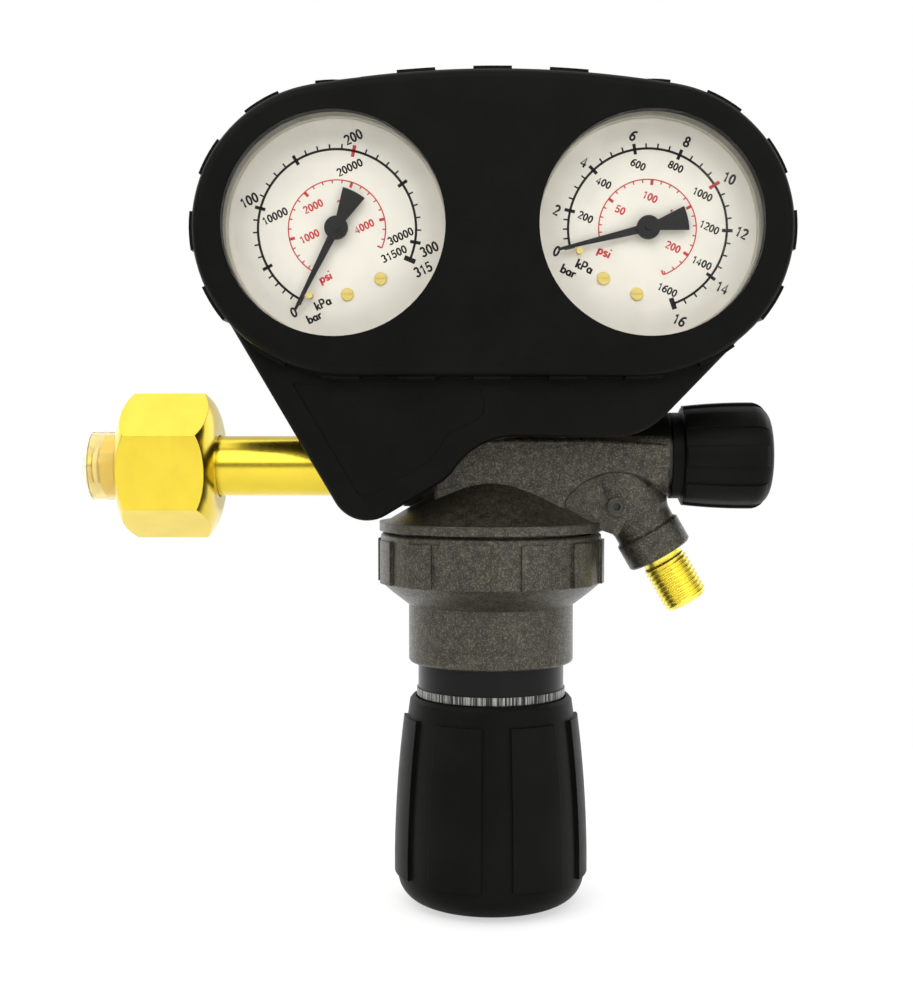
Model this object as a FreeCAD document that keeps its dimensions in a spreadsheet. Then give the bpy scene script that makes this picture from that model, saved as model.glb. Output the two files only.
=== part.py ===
"""Gas pressure regulator: forged body, bonnet, two gauges in a moulded shroud.

Millimetres, +Z up. The origin is the centre of the inlet nose. The inlet axis is
the X axis, the front of the dials faces -Y, and the body axis stands at X = reach.
"""
import FreeCAD, Part
import Sketcher
import math
import os

# Driving sizes, in millimetres and degrees
SIZES = {
    # Whole regulator
    "reach": 115.5,
    "running_gap": 0.1,
    "loose_gap": 0.3,
    # Body
    "inlet_boss_radius": 11.6,
    "inlet_boss_reach": 25.0,
    "arm_radius": 11.6,
    "arm_height": 3.0,
    "arm_reach": 50.0,
    "flange_radius": 32.0,
    "flange_top": -15.7,
    "flange_bottom": -18.3,
    "flange_lip": 2.0,
    "dome_slope": 31.0,
    "block_radius": 11.4,
    "block_top": 15.0,
    "spigot_step": 3.6,
    "chamber_wall": 3.4,
    "chamber_roof": -16.5,
    "chamber_bottom": -25.5,
    "gas_bore": 1.8,
    "gauge_bore": 1.2,
    "passage_x": 14.0,
    # Web with a flat face that joins the arm, the dome and the outlet boss
    "web_left": -16.0,
    "web_low": -17.0,
    "web_top": 8.0,
    "web_slope_start": 30.0,
    "web_end_top": 6.5,
    "web_end_low": -2.5,
    "arch_left": 21.0,
    "arch_left_foot": -9.5,
    "arch_right": 46.0,
    "arch_right_foot": -5.6,
    "arch_radius": 17.0,
    "web_rounding": 1.2,
    "gusset_depth": 9.5,
    "gusset_left": 10.0,
    "gusset_end": 35.5,
    "gusset_low": -19.5,
    # Outlet boss and nipple
    "outlet_x": 32.3,
    "outlet_turn": 150.0,
    "outlet_root_radius": 11.0,
    "outlet_waist_radius": 8.8,
    "outlet_waist": 22.5,
    "collar_start": 25.2,
    "collar_end": 32.7,
    "collar_radius": 9.6,
    "outlet_thread_radius": 6.58,
    "outlet_thread_length": 15.5,
    "outlet_neck_radius": 5.9,
    "outlet_neck": 2.2,
    "outlet_socket_depth": 10.0,
    "outlet_bore": 4.0,
    # Small socket screw in the outlet boss
    "grub_x": 35.1,
    "grub_z": -11.2,
    "grub_front": 11.7,
    "grub_radius": 2.0,
    "grub_length": 5.0,
    # Bonnet and neck
    "bonnet_step": 0.4,
    "bonnet_block_height": 0.9,
    "bonnet_block_angle": 15.0,
    "bonnet_block_first": -98.2,
    "bonnet_blocks": 12,
    "bonnet_top": -19.0,
    "bonnet_skirt_bottom": -33.0,
    "barrel_radius": 23.6,
    "barrel_top": -39.5,
    "barrel_bottom": -56.0,
    "neck_radius": 20.4,
    "neck_bottom": -78.0,
    "neck_floor": 6.0,
    "spring_bore": 16.0,
    "band_height": 7.5,
    "band_thickness": 0.5,
    "neck_ring_height": 2.2,
    "neck_ring_thickness": 0.9,
    # Diaphragm and valve
    "diaphragm_thickness": 0.8,
    "slip_ring_thickness": 1.0,
    "plate_radius": 17.0,
    "plate_thickness": 2.8,
    "plate_stud_radius": 3.0,
    "capsule_radius": 8.0,
    "capsule_top": -3.0,
    "seat_ridge": 0.4,
    "seat_bore": 1.7,
    "poppet_radius": 3.4,
    "poppet_height": 4.0,
    "pin_radius": 1.0,
    "valve_chamber_radius": 6.0,
    "valve_chamber_top": 8.5,
    # Main spring and adjusting screw
    "spring_radius": 10.0,
    "spring_wire": 3.0,
    "spring_turns": 5.0,
    "button_thickness": 4.5,
    "button_bottom": -66.0,
    "screw_radius": 6.0,
    "screw_length": 46.0,
    # Adjusting knob
    "knob_top": -66.0,
    "knob_bottom": -125.0,
    "knob_top_radius": 23.3,
    "knob_low_radius": 26.8,
    "knob_shoulder": -116.5,
    "knob_foot_radius": 20.0,
    "knob_bore": 21.6,
    "knob_floor": -86.0,
    "knob_lobes": 7,
    "lobe_height": 1.0,
    "lobe_angle": 33.0,
    "lobe_top": -71.5,
    "lobe_top_radius": 25.0,
    "knob_spin": -112.6,
    # Inlet stem, nut and cap
    "nose_radius": 5.0,
    "nose_length": 4.7,
    "neck_flats": 15.6,
    "head_start": 9.5,
    "head_length": 4.0,
    "head_radius": 11.4,
    "stem_radius": 8.6,
    "stem_thread_radius": 8.2,
    "stem_bore": 2.5,
    "stem_engagement": 12.0,
    "filter_radius": 3.2,
    "filter_length": 9.0,
    "nut_start": 9.5,
    "nut_length": 28.2,
    "nut_flats": 36.0,
    "nut_turn": 5.0,
    "nut_thread_radius": 12.1,
    "nut_shoulder": 6.0,
    "nut_end_radius": 12.6,
    "nut_cone": 4.2,
    "slip_washer_thickness": 1.5,
    "cap_radius": 9.75,
    "cap_wall": 0.5,
    "cap_tip_radius": 6.0,
    "cap_tip": 0.6,
    # Outlet valve
    "valve_bore_radius": 7.5,
    "valve_seat": 30.0,
    "gland_length": 9.0,
    "gland_flange_radius": 10.4,
    "gland_flange": 1.4,
    "spindle_radius": 3.0,
    "plug_radius": 5.6,
    "plug_length": 6.0,
    "valve_knob_gap": 0.9,
    "valve_knob_length": 28.9,
    "valve_knob_sleeve": 12.3,
    "valve_knob_radius": 14.6,
    "valve_knob_lobes": 8,
    "valve_lobe_angle": 23.0,
    "valve_lobe_height": 0.6,
    # Gauges
    "gauge_x": 42.2,
    "gauge_z": 65.0,
    "gauge_radius": 31.3,
    "gauge_wall": 1.3,
    "gauge_back": -2.0,
    "gauge_rim": 23.0,
    "gauge_lean": 25.0,
    "stem_depth": 4.0,
    "stem_square": 12.0,
    "socket_radius": 4.4,
    "gauge_port_depth": 10.5,
    "gauge_boss_radius": 8.0,
    "gauge_boss_start": 47.0,
    "dial_face": 21.0,
    "dial_thickness": 0.6,
    "dial_radius": 29.6,
    "lens_front": 29.6,
    "lens_thickness": 1.6,
    "staff_radius": 0.8,
    "pointer_height": 2.2,
    "pointer_thickness": 0.6,
    "pointer_hub_radius": 3.2,
    "pointer_tip": 25.0,
    "pointer_tail": 10.6,
    # Shroud
    "visor_x": 42.0,
    "visor_z": 64.2,
    "visor_radius": 38.0,
    "visor_top_radius": 290.0,
    "visor_bottom": 24.6,
    "visor_corner_turn": 45.0,
    "visor_front": 34.0,
    "visor_back": -5.0,
    "visor_wall": 2.8,
    "visor_face": 4.0,
    "visor_edge": 2.6,
    "window_radius": 29.8,
    "tread_pitch": 20.25,
    "tread_length": 10.2,
    "tread_height": 0.8,
    "apron_left": 71.5,
    "apron_top": 40.0,
    "apron_left_lean": 30.4,
    "apron_tip_bottom": -14.3,
    "apron_tip_radius": 10.0,
    "apron_rise": 30.8,
    "apron_rise_end": -14.5,
    "apron_bend_radius": 14.0,
    "apron_steep": 56.0,
    "apron_brow_radius": 19.6,
    "apron_fall": 0.5,
    "apron_brow_end": 32.3,
    "apron_corner_radius": 20.0,
    "apron_right_lean": 46.0,
    "apron_front": 27.0,
    "apron_back": 15.0,
    "apron_wall": 2.6,
    "apron_face": 3.0,
    "apron_edge": 1.6,
    "plate_recess": 0.5,
    "plate_inset": 6.5,
    "plate_top": 22.8,
    "plate_right": -2.0,
    "saddle_wall": 0.95,
    "saddle_start": 30.0,
    "saddle_overlap": 0.2,
    "saddle_low": 8.6,
    "cover_screw_low": 36.0,
    "cover_screw_high": 95.0,
    "cover_screw_radius": 1.5,
    "back_thickness": 2.5,
    # Relief valve at the back
    "relief_x": 16.0,
    "relief_boss_radius": 8.0,
    "relief_thread_radius": 4.8,
    "relief_flats": 14.0,
    "relief_start": 13.0,
    "relief_length": 16.0,
    "relief_bore": 4.0,
}

doc = FreeCAD.newDocument("Regulator")
sheet = doc.addObject("Spreadsheet::Sheet", "Sizes")
for row, (word, value) in enumerate(SIZES.items(), start=1):
    sheet.set(f"A{row}", word)
    sheet.set(f"B{row}", str(value))
    sheet.setAlias(f"B{row}", word)
doc.recompute()


class Size:
    """A size that knows its number and the sheet expression that gives it."""

    def __init__(self, number, text):
        self.number = float(number)
        self.text = text

    def __add__(self, other):
        other = size(other)
        return Size(self.number + other.number, f"({self.text} + {other.text})")

    def __sub__(self, other):
        other = size(other)
        return Size(self.number - other.number, f"({self.text} - {other.text})")

    def __mul__(self, other):
        other = size(other)
        return Size(self.number * other.number, f"({self.text} * {other.text})")

    def __truediv__(self, other):
        other = size(other)
        return Size(self.number / other.number, f"({self.text} / {other.text})")

    def __neg__(self):
        return Size(-self.number, f"(0 - {self.text})")

    __radd__ = __add__
    __rmul__ = __mul__

    def __rsub__(self, other):
        return size(other) - self

    def __rtruediv__(self, other):
        return size(other) / self


def size(value):
    """Return value as a Size, so that plain numbers mix with named ones."""
    return value if isinstance(value, Size) else Size(value, repr(float(value)))


def sine(angle):
    angle = size(angle)
    return Size(math.sin(math.radians(angle.number)), f"sin({angle.text})")


def cosine(angle):
    angle = size(angle)
    return Size(math.cos(math.radians(angle.number)), f"cos({angle.text})")


def tangent(angle):
    angle = size(angle)
    return Size(math.tan(math.radians(angle.number)), f"tan({angle.text})")


def arc_sine(ratio):
    ratio = size(ratio)
    return Size(math.degrees(math.asin(ratio.number)), f"(asin({ratio.text}) / 1 deg)")


class Named:
    """Each named size of the sheet, as a Size."""


N = Named()
for word in SIZES:
    setattr(N, word, Size(SIZES[word], f"Sizes.{word}"))


def bind(thing, name, value):
    """Tie one property of thing to the sheet."""
    thing.setExpression(name, size(value).text)


def new_body(label, x=0.0, y=0.0, z=0.0, axis=(0, 0, 1), turn=0.0, spin=0.0):
    """Start a body at x, y, z, spun about its own Z axis and then turned about axis."""
    body = doc.addObject("PartDesign::Body", label)
    body.Label = label
    place = FreeCAD.Vector(size(x).number, size(y).number, size(z).number)
    tilt = FreeCAD.Rotation(FreeCAD.Vector(*axis), size(turn).number)
    own = FreeCAD.Rotation(FreeCAD.Vector(0, 0, 1), size(spin).number)
    rotation = tilt.multiply(own)
    body.Placement = FreeCAD.Placement(place, rotation)
    for letter, value in (("x", x), ("y", y), ("z", z)):
        bind(body, f"Placement.Base.{letter}", value)
    return body


def new_sketch(body, plane, name, at=(0, 0, 0), tilt=0.0):
    """Start a sketch on a body plane: at is (across, up, out), tilt turns it in its plane."""
    sketch = body.newObject("Sketcher::SketchObject", name)
    origin_plane = [item for item in body.Origin.OriginFeatures if item.Role == plane][0]
    sketch.AttachmentSupport = (origin_plane, "")
    sketch.MapMode = "FlatFace"
    spot = FreeCAD.Vector(*[size(value).number for value in at])
    rotation = FreeCAD.Rotation(FreeCAD.Vector(0, 0, 1), size(tilt).number)
    sketch.AttachmentOffset = FreeCAD.Placement(spot, rotation)
    for letter, value in zip("xyz", at):
        if isinstance(value, Size):
            bind(sketch, f"AttachmentOffset.Base.{letter}", value)
    if isinstance(tilt, Size):
        bind(sketch, "AttachmentOffset.Rotation.Angle", tilt)
    return sketch


def pin_point(sketch, curve, end, across, up):
    """Hold one point of a curve at two sizes measured from the sketch's origin."""
    for kind, value in (("DistanceX", across), ("DistanceY", up)):
        value = size(value)
        rule = Sketcher.Constraint(kind, -1, 1, curve, end, value.number)
        index = sketch.addConstraint(rule)
        if "Sizes" in value.text:
            sketch.setExpression(f"Constraints[{index}]", value.text)


def hold_radius(sketch, curve, radius):
    radius = size(radius)
    index = sketch.addConstraint(Sketcher.Constraint("Radius", curve, radius.number))
    if "Sizes" in radius.text:
        sketch.setExpression(f"Constraints[{index}]", radius.text)


def arc_between(start, end, radius):
    """Arc from start to end; a positive radius turns left, a negative one turns right."""
    chord = end - start
    middle = (start + end) * 0.5
    left = FreeCAD.Vector(-chord.y, chord.x, 0).normalize()
    rise = math.sqrt(max(radius * radius - chord.Length ** 2 / 4, 0.0))
    centre = middle + left * math.copysign(rise, radius)
    angles = [math.atan2(p.y - centre.y, p.x - centre.x) for p in (start, end)]
    if radius < 0:
        angles.reverse()
    circle = Part.Circle(centre, FreeCAD.Vector(0, 0, 1), abs(radius))
    return Part.ArcOfCircle(circle, angles[0], angles[1])


def draw_loop(sketch, path):
    """Closed outline. A corner is (across, up), with a radius where an arc leaves it."""
    first = sketch.GeometryCount
    ends = []
    points = [FreeCAD.Vector(size(p[0]).number, size(p[1]).number, 0) for p in path]
    for index, corner in enumerate(path):
        start = points[index]
        end = points[(index + 1) % len(path)]
        if len(corner) == 3:
            radius = size(corner[2])
            curve = sketch.addGeometry(arc_between(start, end, radius.number), False)
            ends.append((1, 2) if radius.number > 0 else (2, 1))
        else:
            curve = sketch.addGeometry(Part.LineSegment(start, end), False)
            ends.append((1, 2))
    count = len(path)
    for index in range(count):
        after = (index + 1) % count
        rule = Sketcher.Constraint("Coincident", first + index, ends[index][1],
                                   first + after, ends[after][0])
        sketch.addConstraint(rule)
    for index, corner in enumerate(path):
        pin_point(sketch, first + index, ends[index][0], corner[0], corner[1])
        if len(corner) == 3:
            radius = size(corner[2])
            hold_radius(sketch, first + index, radius if radius.number > 0 else -radius)


def draw_circle(sketch, across, up, radius):
    centre = FreeCAD.Vector(size(across).number, size(up).number, 0)
    circle = Part.Circle(centre, FreeCAD.Vector(0, 0, 1), size(radius).number)
    curve = sketch.addGeometry(circle, False)
    pin_point(sketch, curve, 3, across, up)
    hold_radius(sketch, curve, radius)


def hexagon(flats, turn=0.0):
    """Corners of a hexagon, the first one at turn degrees."""
    reach = flats / (2 * math.cos(math.pi / 6))
    return [(reach * cosine(turn + 60 * k), reach * sine(turn + 60 * k)) for k in range(6)]


def lathe(body, name, path, at=(0, 0, 0), tilt=0.0, cut=False, degrees=360.0,
          plane="XZ_Plane"):
    """Turn a (radius, height) outline about its own upright axis in a body plane."""
    sketch = new_sketch(body, plane, f"{name}_outline", at, tilt)
    draw_loop(sketch, path)
    kind = "PartDesign::Groove" if cut else "PartDesign::Revolution"
    feature = body.newObject(kind, name)
    feature.Profile = sketch
    feature.ReferenceAxis = (sketch, ["V_Axis"])
    bind(feature, "Angle", degrees)
    feature.Angle = size(degrees).number
    if size(degrees).number < 360:
        feature.Midplane = True
    return feature


def extrude(body, name, sketch, length, cut=False, both=False, back=False):
    """Pad or pocket a sketch by length along its normal, or against it with back."""
    feature = body.newObject("PartDesign::Pocket" if cut else "PartDesign::Pad", name)
    feature.Profile = sketch
    bind(feature, "Length", length)
    feature.Length = size(length).number
    if both:
        feature.Midplane = True
    feature.Reversed = (not back) if cut else back
    return feature


def prism(body, name, plane, path, start, length, cut=False):
    """Extrude one closed outline from start, measured along the plane's normal."""
    sketch = new_sketch(body, plane, f"{name}_outline", (0, 0, start))
    draw_loop(sketch, path)
    return extrude(body, name, sketch, length, cut)


def rod(body, name, plane, across, up, radius, start, length, cut=False):
    """Extrude one circle from start, measured along the plane's normal."""
    sketch = new_sketch(body, plane, f"{name}_outline", (0, 0, start))
    draw_circle(sketch, across, up, radius)
    return extrude(body, name, sketch, length, cut)


def around(body, feature, count, name):
    """Repeat one feature evenly about the body's own Z axis."""
    pattern = body.newObject("PartDesign::PolarPattern", name)
    pattern.Originals = [feature]
    axis = [item for item in body.Origin.OriginFeatures if item.Role == "Z_Axis"][0]
    pattern.Axis = (axis, [""])
    pattern.Angle = 360
    bind(pattern, "Occurrences", count)
    pattern.Occurrences = int(size(count).number)
    body.Tip = pattern
    return pattern


def dress(body, kind, name, amount, chosen):
    """Fillet or chamfer the edges of the body so far for which chosen(edge) is true."""
    doc.recompute()
    base = body.Tip
    edges = [f"Edge{k + 1}" for k, edge in enumerate(base.Shape.Edges) if chosen(edge)]
    feature = body.newObject(f"PartDesign::{kind}", name)
    feature.Base = (base, edges)
    bind(feature, "Radius" if kind == "Fillet" else "Size", amount)
    return feature


def tube(inner, outer, low, high):
    """Outline of a plain ring or sleeve."""
    return [(inner, low), (outer, low), (outer, high), (inner, high)]


def polar(radius, angle):
    return radius * cosine(angle), radius * sine(angle)


def sector(inner, outer, middle, width):
    """Outline of a piece of a ring, centred on the angle middle."""
    low = size(middle) - width / 2
    high = size(middle) + width / 2
    return [
        polar(inner, low),
        (*polar(outer, low), outer),
        polar(outer, high),
        (*polar(inner, high), -inner),
    ]


def spigot_radius():
    return N.flange_radius - N.spigot_step


def chamber_radius():
    return spigot_radius() - N.chamber_wall


def bonnet_radius():
    return N.flange_radius - N.bonnet_step


def valve_knob_start():
    return N.arm_reach + N.valve_knob_gap


def valve_knob_end():
    return valve_knob_start() + N.valve_knob_length


def saddle_end():
    return N.arm_reach + N.saddle_overlap


def diaphragm_under():
    return N.chamber_bottom - N.diaphragm_thickness


def bonnet_shoulder():
    return diaphragm_under() - N.slip_ring_thickness


def make_regulator_body():
    """Forged body: dome with flange and spigot, inlet boss, valve arm and outlet boss."""
    body = new_body("regulator_body", x=N.reach)
    add_web(body)
    lip = N.flange_radius - N.flange_lip
    dome_top = N.flange_top + (lip - N.block_radius) * tangent(N.dome_slope)
    lathe(body, "dome", [
        (0, N.chamber_bottom),
        (spigot_radius(), N.chamber_bottom),
        (spigot_radius(), N.flange_bottom),
        (N.flange_radius, N.flange_bottom),
        (N.flange_radius, N.flange_top),
        (lip, N.flange_top),
        (N.block_radius, dome_top),
        (N.block_radius, N.block_top),
        (0, N.block_top),
    ])
    rod(body, "inlet_boss", "YZ_Plane", 0, 0, N.inlet_boss_radius,
        -N.inlet_boss_reach, N.inlet_boss_reach)
    rod(body, "valve_arm", "YZ_Plane", 0, N.arm_height, N.arm_radius, 0, N.arm_reach)
    shape_outlet_boss(body)
    for side in (-1, 1):
        axis_at = (side * N.gauge_x, N.gauge_z, N.stem_depth)
        tilt = side * (180 - N.gauge_lean)
        end = N.gauge_boss_start + 14
        lathe(body, f"gauge_boss_{side + 1}", tube(0, N.gauge_boss_radius,
              N.gauge_boss_start, end), axis_at, tilt)
    rod(body, "grub_boss", "XZ_Plane", N.grub_x, N.grub_z, N.grub_radius + 0.7,
        6, N.grub_front - 6)
    rod(body, "relief_boss", "XZ_Plane", N.relief_x, N.arm_height, N.relief_boss_radius,
        -N.relief_start, 8)
    cut_body_bores(body)
    return body


def add_web(body):
    """Flat-faced web from the dome up to the arm, arched over the outlet boss."""
    prism(body, "web", "XZ_Plane", [
        (N.web_left, N.web_low),
        (N.arch_left, N.web_low),
        (N.arch_left, N.arch_left_foot, -N.arch_radius),
        (N.arch_right, N.arch_right_foot),
        (N.arm_reach, N.web_end_low),
        (N.arm_reach, N.web_end_top),
        (N.web_slope_start, N.web_top),
        (N.web_left, N.web_top),
    ], -N.arm_radius, N.arm_radius * 2)
    face = N.arm_radius.number - 0.01
    dress(body, "Fillet", "web_edges", N.web_rounding,
          lambda edge: min(abs(edge.BoundBox.YMin), abs(edge.BoundBox.YMax)) > face
          and edge.BoundBox.ZMax > N.web_low.number + 0.1)
    prism(body, "gusset", "XZ_Plane", [
        (N.gusset_left, N.web_low),
        (spigot_radius(), N.web_low),
        (N.gusset_end, N.gusset_low),
        (N.arch_right - 5, N.arch_left_foot),
        (N.arch_right - 5, 0),
        (N.gusset_left, 0),
    ], -N.gusset_depth, N.gusset_depth * 2)


def shape_outlet_boss(body):
    """Rounded boss that leans out of the arm and ends in a collar."""
    lathe(body, "outlet_boss", [
        (0, 0),
        (N.outlet_root_radius - 1.6, 0, 22),
        (N.outlet_root_radius, 8, 24),
        (N.outlet_waist_radius + 0.9, N.outlet_waist - 3, -5.5),
        (N.outlet_waist_radius, N.outlet_waist),
        (N.outlet_waist_radius, N.collar_start - 0.8),
        (N.collar_radius, N.collar_start),
        (N.collar_radius, N.collar_end - 0.5),
        (N.collar_radius - 0.5, N.collar_end),
        (0, N.collar_end),
    ], (N.outlet_x, N.arm_height, 0), -N.outlet_turn)


def cut_body_bores(body):
    """Chamber, valve bores, gas passages and threaded ports."""
    lathe(body, "diaphragm_chamber", tube(0, chamber_radius(), N.chamber_bottom,
          N.chamber_roof), cut=True)
    lathe(body, "capsule_bore", tube(0, N.capsule_radius, N.chamber_roof, N.capsule_top), cut=True)
    lathe(body, "valve_chamber", tube(0, N.valve_chamber_radius, N.capsule_top,
          N.valve_chamber_top), cut=True)
    rod(body, "stem_socket", "YZ_Plane", 0, 0, N.stem_thread_radius,
        -N.inlet_boss_reach, N.stem_engagement, cut=True)
    rod(body, "inlet_bore", "YZ_Plane", 0, 0, N.stem_bore + 1,
        -N.inlet_boss_reach, N.inlet_boss_reach, cut=True)
    rod(body, "valve_bore", "YZ_Plane", 0, N.arm_height, N.valve_bore_radius,
        N.valve_seat, N.arm_reach - N.valve_seat, cut=True)
    rod(body, "seat_bore", "YZ_Plane", 0, N.arm_height, N.spindle_radius,
        N.passage_x, N.valve_seat - N.passage_x, cut=True)
    sketch = new_sketch(body, "XY_Plane", "riser_outline", (0, 0, N.chamber_roof))
    draw_circle(sketch, N.passage_x, -N.stem_depth, N.gas_bore)
    extrude(body, "riser", sketch, N.arm_height + 3 - N.chamber_roof, cut=True)
    socket = N.collar_end - N.outlet_socket_depth
    lathe(body, "outlet_bore", [
        (0, 3), (N.outlet_bore, 3), (N.outlet_bore, socket), (N.outlet_neck_radius, socket),
        (N.outlet_neck_radius, N.collar_end), (0, N.collar_end),
    ], (N.outlet_x, N.arm_height, 0), -N.outlet_turn, cut=True)
    port_end = N.gauge_boss_start + N.gauge_port_depth
    for side in (-1, 1):
        axis_at = (side * N.gauge_x, N.gauge_z, N.stem_depth)
        tilt = side * (180 - N.gauge_lean)
        lathe(body, f"gauge_port_{side + 1}", tube(0, N.outlet_thread_radius,
              N.gauge_boss_start, port_end), axis_at, tilt, cut=True)
        lathe(body, f"gauge_bore_{side + 1}", tube(0, N.gauge_bore, port_end - 2,
              port_end + 17), axis_at, tilt, cut=True)
    rod(body, "grub_hole", "XZ_Plane", N.grub_x, N.grub_z, N.grub_radius,
        N.grub_front - N.grub_length - 0.3, N.grub_length + 0.3, cut=True)
    rod(body, "relief_port", "XZ_Plane", N.relief_x, N.arm_height, N.relief_thread_radius,
        -N.relief_start, 5, cut=True)
    rod(body, "relief_hole", "XZ_Plane", N.relief_x, N.arm_height, N.gas_bore,
        -N.relief_start, N.relief_start, cut=True)


def make_bonnet():
    """Bonnet: ring with raised blocks, cone, barrel and threaded neck."""
    body = new_body("bonnet", x=N.reach)
    floor = N.neck_bottom + N.neck_floor
    shoulder = bonnet_shoulder()
    thread = spigot_radius() + N.running_gap
    waist = bonnet_radius() - 3.2
    lathe(body, "shell", [
        (thread, N.bonnet_top),
        (thread, shoulder),
        (chamber_radius(), shoulder),
        (chamber_radius(), N.bonnet_skirt_bottom + 1),
        (N.spring_bore, N.barrel_top),
        (N.spring_bore, floor),
        (N.screw_radius + N.running_gap, floor),
        (N.screw_radius + N.running_gap, N.neck_bottom),
        (N.neck_radius - 1, N.neck_bottom),
        (N.neck_radius, N.neck_bottom + 1),
        (N.neck_radius, N.barrel_bottom),
        (N.barrel_radius - 1, N.barrel_bottom, 1.0),
        (N.barrel_radius, N.barrel_bottom + 1),
        (N.barrel_radius, N.barrel_top),
        (waist, N.bonnet_skirt_bottom - 2.8),
        (bonnet_radius(), N.bonnet_skirt_bottom),
        (bonnet_radius(), N.bonnet_top - 0.6),
        (bonnet_radius() - 0.6, N.bonnet_top),
    ])
    block = sector(bonnet_radius() - 1, bonnet_radius() + N.bonnet_block_height,
                   N.bonnet_block_first, N.bonnet_block_angle)
    height = N.bonnet_top - 1.8 - N.bonnet_skirt_bottom
    pad = prism(body, "block", "XY_Plane", block, N.bonnet_skirt_bottom, height)
    around(body, pad, N.bonnet_blocks, "blocks")
    return body


def make_gas_band():
    body = new_body("gas_band", x=N.reach)
    outer = N.neck_radius + N.band_thickness
    low = N.barrel_bottom - N.band_height
    lathe(body, "band", tube(N.neck_radius, outer, low, N.barrel_bottom))
    return body


def make_neck_ring():
    body = new_body("neck_ring", x=N.reach)
    high = N.barrel_bottom - N.band_height
    outer = N.neck_radius + N.neck_ring_thickness
    lathe(body, "ring", tube(N.neck_radius, outer, high - N.neck_ring_height, high))
    return body


def make_diaphragm():
    body = new_body("diaphragm", x=N.reach)
    hole = N.plate_stud_radius + N.running_gap
    outer = spigot_radius() - 0.2
    lathe(body, "disc", tube(hole, outer, diaphragm_under(), N.chamber_bottom))
    return body


def make_slip_ring():
    body = new_body("slip_ring", x=N.reach)
    outer = spigot_radius() - 0.2
    lathe(body, "ring", tube(chamber_radius(), outer, bonnet_shoulder(), diaphragm_under()))
    return body


def plate_low():
    return diaphragm_under() - N.running_gap - N.plate_thickness


def plate_top():
    return N.chamber_bottom + N.running_gap + 0.9


def make_diaphragm_plate():
    """Disc under the diaphragm, its stud, and the flange above that lifts the pin."""
    body = new_body("diaphragm_plate", x=N.reach)
    under = diaphragm_under() - N.running_gap
    over = N.chamber_bottom + N.running_gap
    guide = N.spring_radius - N.spring_wire / 2 - N.loose_gap
    lathe(body, "disc", [
        (0, plate_low() - 1.6),
        (guide, plate_low() - 1.6),
        (guide, plate_low()),
        (N.plate_radius, plate_low()),
        (N.plate_radius, under),
        (N.plate_stud_radius, under),
        (N.plate_stud_radius, over),
        (N.plate_stud_radius * 2, over),
        (N.plate_stud_radius * 2, plate_top()),
        (0, plate_top()),
    ])
    return body


def make_seat_capsule():
    """Brass capsule in the body with the valve seat as a ridge on its top."""
    body = new_body("seat_capsule", x=N.reach)
    face = N.capsule_top - N.seat_ridge
    ridge = N.seat_bore + 0.6
    lathe(body, "capsule", [
        (N.seat_bore, N.chamber_roof + 7),
        (N.capsule_radius / 2, N.chamber_roof + 7),
        (N.capsule_radius / 2, N.chamber_roof),
        (N.capsule_radius, N.chamber_roof),
        (N.capsule_radius, face),
        (ridge + 0.4, face),
        (ridge, N.capsule_top),
        (N.seat_bore, N.capsule_top),
    ])
    return body


def make_valve_poppet():
    body = new_body("valve_poppet", x=N.reach)
    seat = N.capsule_top + 0.02
    head = seat + N.poppet_height
    lathe(body, "poppet", [
        (0, plate_top() + 0.05),
        (N.pin_radius, plate_top() + 0.05),
        (N.pin_radius, seat),
        (N.poppet_radius, seat),
        (N.poppet_radius, head),
        (N.pin_radius * 1.4, head),
        (N.pin_radius * 1.4, head + 2),
        (0, head + 2),
    ])
    return body


def coil(body, radius, wire, low, high, turns):
    """Round wire wound about the body's own Z axis from low to high."""
    sketch = new_sketch(body, "XZ_Plane", "wire_outline")
    draw_circle(sketch, radius, low + wire / 2, wire / 2)
    helix = body.newObject("PartDesign::AdditiveHelix", "coil")
    helix.Profile = sketch
    helix.ReferenceAxis = (sketch, ["V_Axis"])
    helix.Mode = "height-turns-growth"
    helix.Growth = 0
    helix.Angle = 0
    bind(helix, "Height", high - low - wire)
    bind(helix, "Turns", turns)
    helix.Height = (high - low - wire).number
    helix.Turns = size(turns).number
    return helix


def make_poppet_spring():
    body = new_body("poppet_spring", x=N.reach)
    low = N.capsule_top + N.poppet_height + 0.12
    coil(body, N.pin_radius * 2.4, N.pin_radius * 0.7, low, N.valve_chamber_top - 0.1, 3)
    return body


def button_top():
    return N.button_bottom + N.button_thickness


def make_main_spring():
    body = new_body("main_spring", x=N.reach)
    coil(body, N.spring_radius, N.spring_wire, button_top() + 0.1, plate_low() - 0.1,
         N.spring_turns)
    return body


def screw_tip():
    return N.button_bottom + 1.5


def make_spring_button():
    body = new_body("spring_button", x=N.reach)
    guide = N.spring_radius - N.spring_wire / 2 - N.loose_gap
    outer = N.spring_bore - N.running_gap
    dimple = N.screw_radius / 2 + N.running_gap
    lathe(body, "button", [
        (0, screw_tip() + N.running_gap / 2),
        (dimple, screw_tip() + N.running_gap / 2),
        (dimple, N.button_bottom),
        (outer, N.button_bottom),
        (outer, button_top()),
        (guide, button_top()),
        (guide, button_top() + 1.6),
        (0, button_top() + 1.6),
    ])
    return body


def screw_end():
    return screw_tip() - N.screw_length


def make_adjusting_screw():
    body = new_body("adjusting_screw", x=N.reach)
    point = N.screw_radius / 2
    lathe(body, "screw", [
        (0, screw_end()),
        (N.screw_radius, screw_end()),
        (N.screw_radius, screw_tip() - 5),
        (point, screw_tip() - 2),
        (point, screw_tip()),
        (0, screw_tip()),
    ])
    return body


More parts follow.
